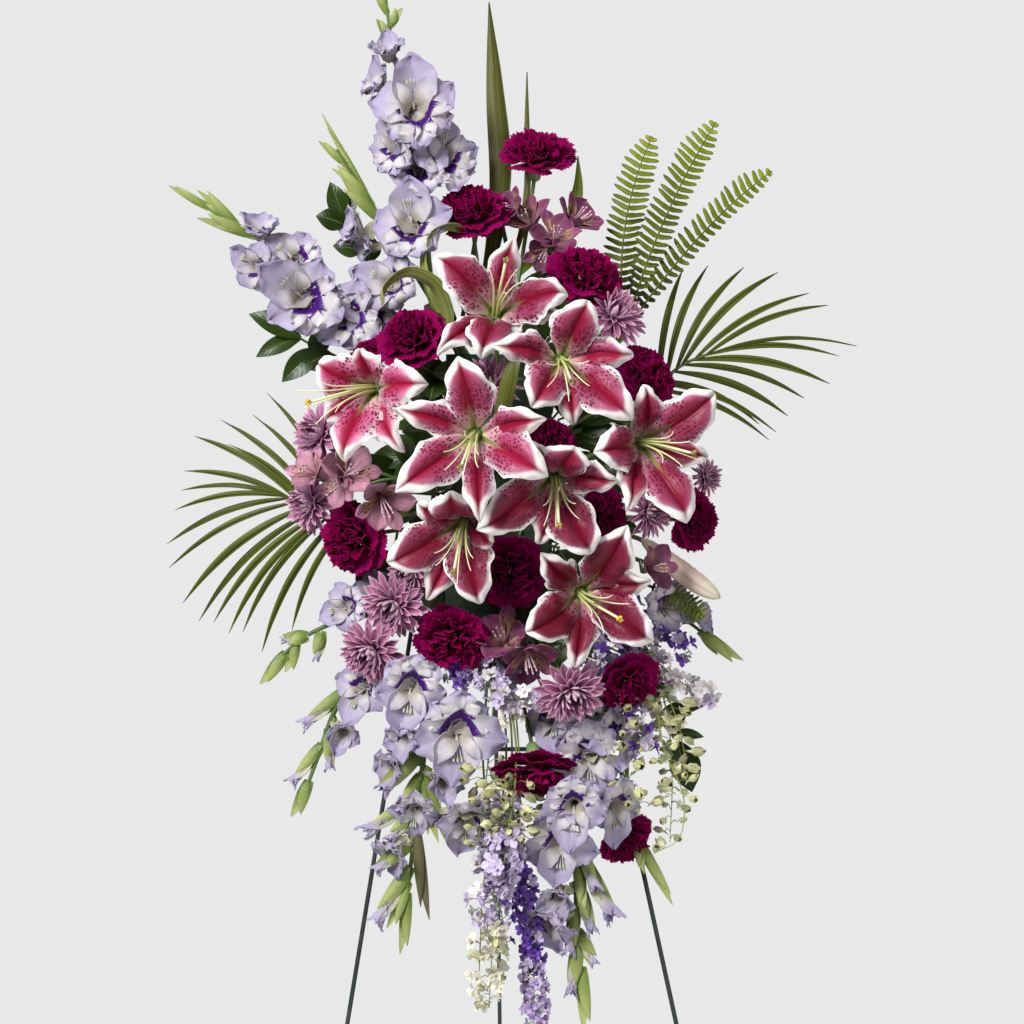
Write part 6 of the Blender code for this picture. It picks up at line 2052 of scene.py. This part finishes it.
# Each looped leaf: its route and its widths from foot to tip
LOOPS = (
    ([((444, 306), -0.205), ((432, 283), -0.222), ((408, 274), -0.228), ((388, 286), -0.222),
      ((382, 304), -0.205)],
     [0.008, 0.024, 0.025, 0.023, 0.018, 0.010]),
    ([((428, 290), -0.180), ((422, 256), -0.185), ((430, 234), -0.192), ((448, 226), -0.190),
      ((466, 232), -0.170)],
     [0.008, 0.020, 0.022, 0.022, 0.019, 0.008]),
)
# The loop that shows between the blooms
MIDDLE_LOOP = (
    [((503, 408), -0.288), ((509, 380), -0.302), ((515, 352), -0.300), ((522, 332), -0.282)],
    [0.007, 0.014, 0.017, 0.017, 0.015, 0.006],
)


def make_straps():
    work = Work("sword_leaves_clump")
    add_stem(work, spot((478, 300), -0.120), UP, 0.0028)
    for route, widths, slot in SWORDS:
        strap(work, route, widths, vec(1, 0, 0), 0.12, slot=slot)
    materials = ("strap", "strap", "stem", "strap_bright", "strap_bright")
    work.finish("sword_leaves", materials, "leaf", 0.0007)
    work = Work("looped_leaves_bent")
    root = spot((448, 330), -0.185)
    way = unit(vec(-0.2, -0.4, 0.9))
    add_stem(work, root, way, 0.0024)
    for route, widths in LOOPS:
        strap(work, route, widths, vec(0.3, -1, 0.5), 0.1, [root - way * 0.005])
    strap(work, *MIDDLE_LOOP, vec(1, -0.3, 0.2), 0.1, [spot((508, 440), -0.212)], slot=3)
    materials = ("strap_light", "strap_light", "stem", "strap_dark", "strap_dark")
    work.finish("looped_leaves", materials, "leaf", 0.0007)


LEAFY = {
    "leaves_left": [
        (
            [((404, 392), -0.135), ((340, 358), -0.130), ((300, 338), -0.128), ((285, 326), -0.128)],
            [
                ((249, 314), -0.130, 0.026), ((256, 357), -0.132, 0.020), ((282, 382), -0.135, 0.026),
                ((312, 332), -0.130, 0.030), ((302, 368), -0.138, 0.030),
            ],
        ),
        (
            [
                ((402, 391), -0.135), ((392, 320), -0.124), ((368, 262), -0.118), ((345, 225), -0.115),
                ((336, 205), -0.115),
            ],
            [
                ((330, 182), -0.120, 0.024), ((316, 216), -0.120, 0.026), ((352, 188), -0.112, 0.020),
                ((333, 246), -0.125, 0.024), ((372, 236), -0.118, 0.024),
            ],
        ),
    ],
    "leaves_low_right": [
        (
            [((606, 650), -0.150), ((660, 720), -0.150), ((682, 748), -0.150), ((690, 758), -0.150)],
            [
                ((662, 708), -0.165, 0.018), ((706, 705), -0.155, 0.016), ((704, 737), -0.150, 0.012),
                ((692, 792), -0.155, 0.034),
            ],
        )
    ],
    "leaves_back": [
        (
            [((420, 470), -0.130), ((400, 520), -0.128), ((392, 570), -0.130)],
            [
                ((330, 470), -0.170, 0.040), ((356, 590), -0.165, 0.040), ((402, 628), -0.150, 0.034),
                ((388, 436), -0.150, 0.034),
            ],
        )
    ],
}


def add_leaf(work, root, tip, width):
    """A pointed leaf that bulges forward between its root and its tip."""
    span = tip - root
    side = unit(np.cross(vec(0.1, -1, 0.25), unit(span)))
    bulge = vec(0, -0.10, 0.05) * np.linalg.norm(span)
    line = smooth([root + span * t + bulge * (4 * t * (1 - t)) for t in (0, 0.25, 0.5, 0.75, 1)])
    phase = work.draw.uniform(0, 6)

    def lift(s, t):
        hollow = 0.25 * np.abs(s) ** 1.5 + 0.05 * np.sin(8 * t + phase) * s
        return width / 2 * hollow * np.sin(math.pi * np.clip(t + 0.05, 0, 1))

    work.lay((6, 12), line, side, width, LEAF_OUTLINE, lift)


def make_leafy():
    for name, twigs in LEAFY.items():
        work = Work(name + "_twigs")
        for number, (route, leaves) in enumerate(twigs):
            points = spots(route)
            line = rooted(points) if number == 0 else points
            work.tube(run(smooth(line), 20), np.linspace(STEM, STEM * 0.6, 20), 7)
            for photo, depth, width in leaves:
                tip = spot(photo, depth)
                share = max(0.1, nearest_share(line, tip) - 0.10)
                add_leaf(work, along(line, share), tip, width)
        work.finish(name, ("leaf_dark", "leaf_under", "stem"), "leaf", 0.0007)


# Where further leaves close a gap between the blooms
FILL_TIPS = (
    (503, 500), (528, 512), (518, 540), (470, 592), (548, 652), (522, 558), (600, 478), (436, 540),
    (538, 640), (575, 575), (648, 470), (430, 400), (455, 392), (500, 470), (540, 490), (480, 500),
    (590, 505), (560, 600), (500, 540), (446, 620), (412, 440), (620, 560), (416, 364), (432, 374),
    (424, 452), (408, 462), (436, 492), (448, 502), (402, 432), (560, 652), (556, 668), (470, 660),
    (600, 660),
)


def make_fill():
    """Leaves that stand out of the foam behind the blooms and close the gaps between them."""
    work = Work("fill_leaves")
    draw = work.draw
    count = 84
    tips = []
    for number in range(count):
        angle = number * GOLDEN
        reach = math.sqrt((number + 0.5) / count)
        photo = (514 + 158 * reach * math.cos(angle), 462 + 206 * reach * math.sin(angle))
        tips.append((photo, -0.205 + 0.06 * reach + draw.uniform(-0.015, 0.02)))
    tips += [(photo, -0.222) for photo in FILL_TIPS]
    for photo, depth in tips:
        tip = spot(photo, depth)
        entry, out = foam_entry(tip)
        span = tip - entry
        long = min(draw.uniform(0.062, 0.085), 0.8 * np.linalg.norm(span))
        base = tip - unit(span * 0.6 + vec(0, 0, -0.02) + draw.uniform(-0.02, 0.02, 3)) * long
        line = bezier(entry - out * 0.006, entry + out * 0.015, base - unit(tip - base) * 0.02, base)
        work.tube(run(line, 6), 0.0013, 5)
        add_leaf(work, base, tip, draw.uniform(0.024, 0.036))
    work.finish(None, ("leaf_dark", "leaf_under", "stem"), "leaf", 0.0006)


# Easel, holder and foam


def wire_paint(shade):
    wear = shade.noise(60, 4)
    colour = shade.mix(shade.span(wear, 0.62, 0.75), (0.012, 0.018, 0.017), (0.040, 0.046, 0.044))
    return {
        "Base Color": colour, "Roughness": shade.span(wear, 0.3, 0.7, 0.35, 0.55),
        "Normal": shade.bump(wear, 0.15, 0.0003),
    }


def plastic_paint(shade):
    grain = shade.noise(900, 2)
    colour = shade.mix(shade.span(shade.noise(20, 3), 0.3, 0.7), (0.012, 0.040, 0.016), (0.020, 0.058, 0.024))
    return {
        "Base Color": colour, "Roughness": shade.span(grain, 0.2, 0.8, 0.38, 0.55),
        "Normal": shade.bump(grain, 0.2, 0.0002),
    }


def foam_paint(shade):
    pores = shade.cells(shade.node("ShaderNodeTexCoord").outputs["Object"], 900, "3D")
    crumb = shade.noise(140, 5)
    # The dark green of the wet foam, darkened further as painted shade where it shows in the gaps between the
    # blooms
    colour = shade.mix(shade.span(crumb, 0.35, 0.7), (0.005, 0.016, 0.006), (0.012, 0.034, 0.013))
    height = shade.plus(shade.times(pores.outputs["Distance"], 0.6), crumb)
    return shade.relief(colour, height, 0.8, 0.0012)


def dress_frame():
    finishes = {
        "wire": finish_material("easel_wire", wire_paint, 0.45, Metallic=0.0, Coat_Weight=0.2),
        "plastic": finish_material("holder_plastic", plastic_paint, 0.45),
        "foam": finish_material("wet_foam_and_shade", foam_paint, 0.85),
    }
    for name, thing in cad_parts.items():
        kind = "wire" if name.startswith(
            "easel"
        ) else "plastic" if name == "foam_holder" else "foam" if name == "foam_block" else None
        if kind:
            for slot in thing.material_slots:
                slot.material = finishes[kind]


# Stage


# The lamps: place, size and power
LAMPS = {
    "key": ((-1.9, -2.9, 2.9), (1.3, 1.3), 198),
    "fill": ((2.4, -2.8, 1.4), (1.6, 1.6), 32),
    "back": ((0.6, 2.4, 2.6), (1.6, 1.2), 40),
}
LAMPS_AIM = Vector((0, -0.2, 1.1))
# How bright the wall behind shows to the camera
BACKDROP = 0.86
SENSOR = 36
PHOTO_SIZE = 1024


def floor_paint(shade):
    return {"Base Color": shade.mix(shade.noise(3, 3), (0.58, 0.58, 0.58), (0.62, 0.62, 0.62))}


def make_stage():
    bpy.ops.object.select_all(action="DESELECT")
    bpy.ops.mesh.primitive_circle_add(vertices=96, radius=2.3, fill_type="NGON", location=(0, 0, 0))
    floor = bpy.context.object
    floor.name = "floor"
    floor.data.materials.append(finish_material("floor", floor_paint, 0.6))
    world = bpy.data.worlds.new("studio")
    bpy.context.scene.world = world
    world.use_nodes = True
    shade = Shade(world.node_tree)
    seen = shade.node("ShaderNodeLightPath").outputs["Is Camera Ray"]
    _, y, z = shade.split(shade.node("ShaderNodeTexCoord").outputs["Generated"])
    dome = shade.times(shade.span(z, -0.4, 0.9, 0.10, 0.70), shade.span(y, -1.0, 0.3, 0.45, 1.0))
    sky = shade.times(dome, shade.minus(1.0, seen))
    background = world.node_tree.nodes["Background"]
    background.inputs["Color"].default_value = (0.94, 0.94, 0.945, 1)
    shade.put(background.inputs["Strength"], shade.plus(sky, shade.times(seen, BACKDROP)))
    for name, (place, size, power) in LAMPS.items():
        data = bpy.data.lights.new(name, "AREA")
        data.shape = "RECTANGLE"
        data.size, data.size_y = size
        data.energy = power
        lamp = bpy.data.objects.new(name, data)
        lamp.location = place
        lamp.rotation_mode = "QUATERNION"
        lamp.rotation_quaternion = (LAMPS_AIM - Vector(place)).to_track_quat("-Z", "Y")
        bpy.context.scene.collection.objects.link(lamp)
    data = bpy.data.cameras.new("camera")
    data.sensor_width = SENSOR
    data.lens = SENSOR * VIEW_DISTANCE / (PHOTO_SIZE * PIXEL)
    camera = bpy.data.objects.new("camera", data)
    camera.location = EYE
    camera.rotation_euler = (math.pi / 2, 0, 0)
    data.clip_end = 50
    bpy.context.scene.collection.objects.link(camera)
    bpy.context.scene.camera = camera
    bpy.context.scene.view_settings.view_transform = "Standard"


# Settings, operators and panel


def colour(name, about, value):
    return bpy.props.FloatVectorProperty(
        name=name, description=about, default=value, subtype="COLOR", size=3, min=0, max=1
    )


def size(name, about, value):
    return bpy.props.FloatProperty(
        name=name, description=about, default=value, min=0.0005, max=0.5, subtype="DISTANCE", unit="LENGTH",
        precision=4,
    )


class SprayLooks(bpy.types.PropertyGroup):
    lily_petal_width: size("Lily petal width", "Width of a broad lily petal", 0.050)
    lily_sepal_width: size("Lily sepal width", "Width of a narrow lily petal", 0.036)
    carnation_width: size("Carnation width", "Width of a full carnation", 0.080)
    mum_width: size("Mum width", "Width of a full mum", 0.068)
    gladiolus_width: size("Gladiolus width", "Width of a full gladiolus flower", 0.080)
    alstroemeria_width: size("Alstroemeria width", "Width of a full alstroemeria flower", 0.060)
    larkspur_width: size("Larkspur width", "Width of a larkspur flower", 0.021)
    palm_leaflet_width: size("Palm leaflet width", "Width of a palm leaflet", 0.0076)
    fern_frond_width: size("Fern frond width", "Width of a fern frond", 0.042)
    lily_rim: colour("Lily rim", "White edge of the lily petals", (0.88, 0.86, 0.84))
    lily_pink: colour("Lily pink", "Outer field of the light lilies", (0.56, 0.20, 0.34))
    lily_rose: colour("Lily rose", "Outer field of the dark lilies", (0.19, 0.020, 0.055))
    lily_crimson: colour("Lily crimson", "Inner field of the light lilies", (0.42, 0.070, 0.165))
    lily_wine: colour("Lily wine", "Inner field of the dark lilies", (0.112, 0.002, 0.014))
    lily_stripe: colour("Lily stripe", "Stripe along the light lily petals", (0.33, 0.002, 0.032))
    lily_spots: colour("Lily spots", "Raised spots on the lily petals", (0.17, 0.001, 0.026))
    carnation: colour("Carnation", "Guard petals of the carnations", (0.235, 0.001, 0.076))
    carnation_heart: colour("Carnation heart", "Middle petals of the carnations", (0.185, 0.0, 0.038))
    # The dark colour is painted shade at the inner ends of the carnation petals, and the colour of their
    # veins
    carnation_deep: colour("Carnation folds", "Inner ends of the carnation petals", (0.085, 0.0, 0.010))
    carnation_edge: colour("Carnation edge", "Toothed edge of the carnation petals", (0.34, 0.004, 0.145))
    mum: colour("Mum", "Rays of the mums", (0.40, 0.145, 0.275))
    # Painted shade at the inner ends and hollow middles of the mum rays
    mum_deep: colour("Mum heart", "Inner ends of the mum rays", (0.11, 0.010, 0.045))
    mum_edge: colour("Mum edge", "Light edge of the mum rays", (0.62, 0.40, 0.52))
    gladiolus: colour("Gladiolus", "Lavender of the gladiolus petals", (0.34, 0.30, 0.43))
    gladiolus_rim: colour("Gladiolus rim", "Edge of the gladiolus petals", (0.27, 0.22, 0.38))
    gladiolus_white: colour("Gladiolus lip", "White of the inner gladiolus petals", (0.51, 0.49, 0.49))
    gladiolus_throat: colour("Gladiolus throat", "Pale throat of the gladiolus", (0.36, 0.335, 0.245))
    gladiolus_deep: colour("Gladiolus veins", "Veins of the gladiolus petals", (0.20, 0.15, 0.35))
    gladiolus_eye: colour("Gladiolus eye", "Violet mark of the gladiolus", (0.042, 0.003, 0.120))
    alstroemeria: colour("Alstroemeria", "Mauve of the alstroemeria", (0.18, 0.034, 0.100))
    alstroemeria_light: colour(
        "Light alstroemeria", "Petals of the lightest alstroemeria", (0.70, 0.35, 0.46)
    )
    alstroemeria_edge: colour(
        "Alstroemeria edge", "Light edge of the alstroemeria petals", (0.32, 0.12, 0.22)
    )
    alstroemeria_pale: colour("Alstroemeria throat", "Pale throat of the alstroemeria", (0.36, 0.18, 0.19))
    alstroemeria_deep: colour("Alstroemeria veins", "Veins of the alstroemeria", (0.07, 0.007, 0.028))
    larkspur: colour("Larkspur", "Violet of the larkspur", (0.185, 0.085, 0.42))
    larkspur_deep: colour("Larkspur deep", "Deep violet of the larkspur", (0.12, 0.045, 0.32))
    larkspur_light: colour("Larkspur light", "Pale lilac larkspur", (0.52, 0.44, 0.62))
    larkspur_white: colour("Larkspur white", "White of the pale larkspur", (0.72, 0.68, 0.70))
    larkspur_cream: colour("Larkspur cream", "Cream of the palest larkspur", (0.74, 0.72, 0.56))
    larkspur_pink: colour("Larkspur pink", "Pink lilac at the end of the violet larkspur", (0.50, 0.38, 0.60))
    larkspur_green: colour("Larkspur green", "Green of the closed larkspur buds", (0.48, 0.48, 0.25))
    larkspur_brown: colour("Larkspur brown", "Brown stripes of the closed larkspur buds", (0.13, 0.09, 0.06))


class SPRAY_OT_finishes(bpy.types.Operator):
    """Make the shared effects and the greens, and finish the easel, holder and foam"""

    bl_idname = "spray.finishes"
    bl_label = "Finishes and Frame"

    def execute(self, context):
        make_groups()
        make_leaf_finishes()
        dress_frame()
        return {"FINISHED"}


class SPRAY_OT_lilies(bpy.types.Operator):
    """Make the eight open lilies"""

    bl_idname = "spray.lilies"
    bl_label = "Lilies"

    def execute(self, context):
        make_lilies()
        return {"FINISHED"}


class SPRAY_OT_lily_bud(bpy.types.Operator):
    """Make the closed lily bud"""

    bl_idname = "spray.lily_bud"
    bl_label = "Lily Bud"

    def execute(self, context):
        make_lily_bud()
        return {"FINISHED"}


class SPRAY_OT_carnations(bpy.types.Operator):
    """Make the carnations"""

    bl_idname = "spray.carnations"
    bl_label = "Carnations"

    def execute(self, context):
        make_carnations()
        return {"FINISHED"}


class SPRAY_OT_mums(bpy.types.Operator):
    """Make the cushion mums"""

    bl_idname = "spray.mums"
    bl_label = "Mums"

    def execute(self, context):
        make_mums()
        return {"FINISHED"}


class SPRAY_OT_gladioli(bpy.types.Operator):
    """Make the gladiolus spikes"""

    bl_idname = "spray.gladioli"
    bl_label = "Gladioli"

    def execute(self, context):
        make_gladioli()
        return {"FINISHED"}


class SPRAY_OT_alstroemeria(bpy.types.Operator):
    """Make the alstroemeria"""

    bl_idname = "spray.alstroemeria"
    bl_label = "Alstroemeria"

    def execute(self, context):
        make_alstroemeria()
        return {"FINISHED"}


class SPRAY_OT_larkspur(bpy.types.Operator):
    """Make the larkspur spires"""

    bl_idname = "spray.larkspur"
    bl_label = "Larkspur"

    def execute(self, context):
        make_larkspurs()
        return {"FINISHED"}


class SPRAY_OT_foliage(bpy.types.Operator):
    """Make the palms, ferns, strap leaves and leafy twigs"""

    bl_idname = "spray.foliage"
    bl_label = "Foliage"

    def execute(self, context):
        make_palms()
        make_ferns()
        make_straps()
        make_leafy()
        make_fill()
        return {"FINISHED"}


class SPRAY_OT_stage(bpy.types.Operator):
    """Make the floor, the light and the camera"""

    bl_idname = "spray.stage"
    bl_label = "Stage"

    def execute(self, context):
        make_stage()
        return {"FINISHED"}


OPERATORS = (
    SPRAY_OT_stage, SPRAY_OT_finishes, SPRAY_OT_lilies, SPRAY_OT_lily_bud, SPRAY_OT_carnations, SPRAY_OT_mums,
    SPRAY_OT_gladioli, SPRAY_OT_alstroemeria, SPRAY_OT_larkspur, SPRAY_OT_foliage,
)


class SPRAY_PT_panel(bpy.types.Panel):
    """Lists the steps that dress the spray, and its colours"""

    bl_idname = "SPRAY_PT_panel"
    bl_label = "Standing Spray"
    bl_space_type = "VIEW_3D"
    bl_region_type = "UI"
    bl_category = "Spray"

    def draw(self, context):
        for operator in OPERATORS:
            self.layout.operator(operator.bl_idname)
        for name in SprayLooks.__annotations__:
            self.layout.prop(context.scene.spray_looks, name)


CLASSES = (SprayLooks, *OPERATORS, SPRAY_PT_panel)


def register():
    for item in CLASSES:
        bpy.utils.register_class(item)
    bpy.types.Scene.spray_looks = bpy.props.PointerProperty(type=SprayLooks)


def unregister():
    del bpy.types.Scene.spray_looks
    for item in reversed(CLASSES):
        bpy.utils.unregister_class(item)


def main():
    register()
    for operator in OPERATORS:
        group, name = operator.bl_idname.split(".")
        getattr(getattr(bpy.ops, group), name)()


if __name__ == "__main__":
    main()
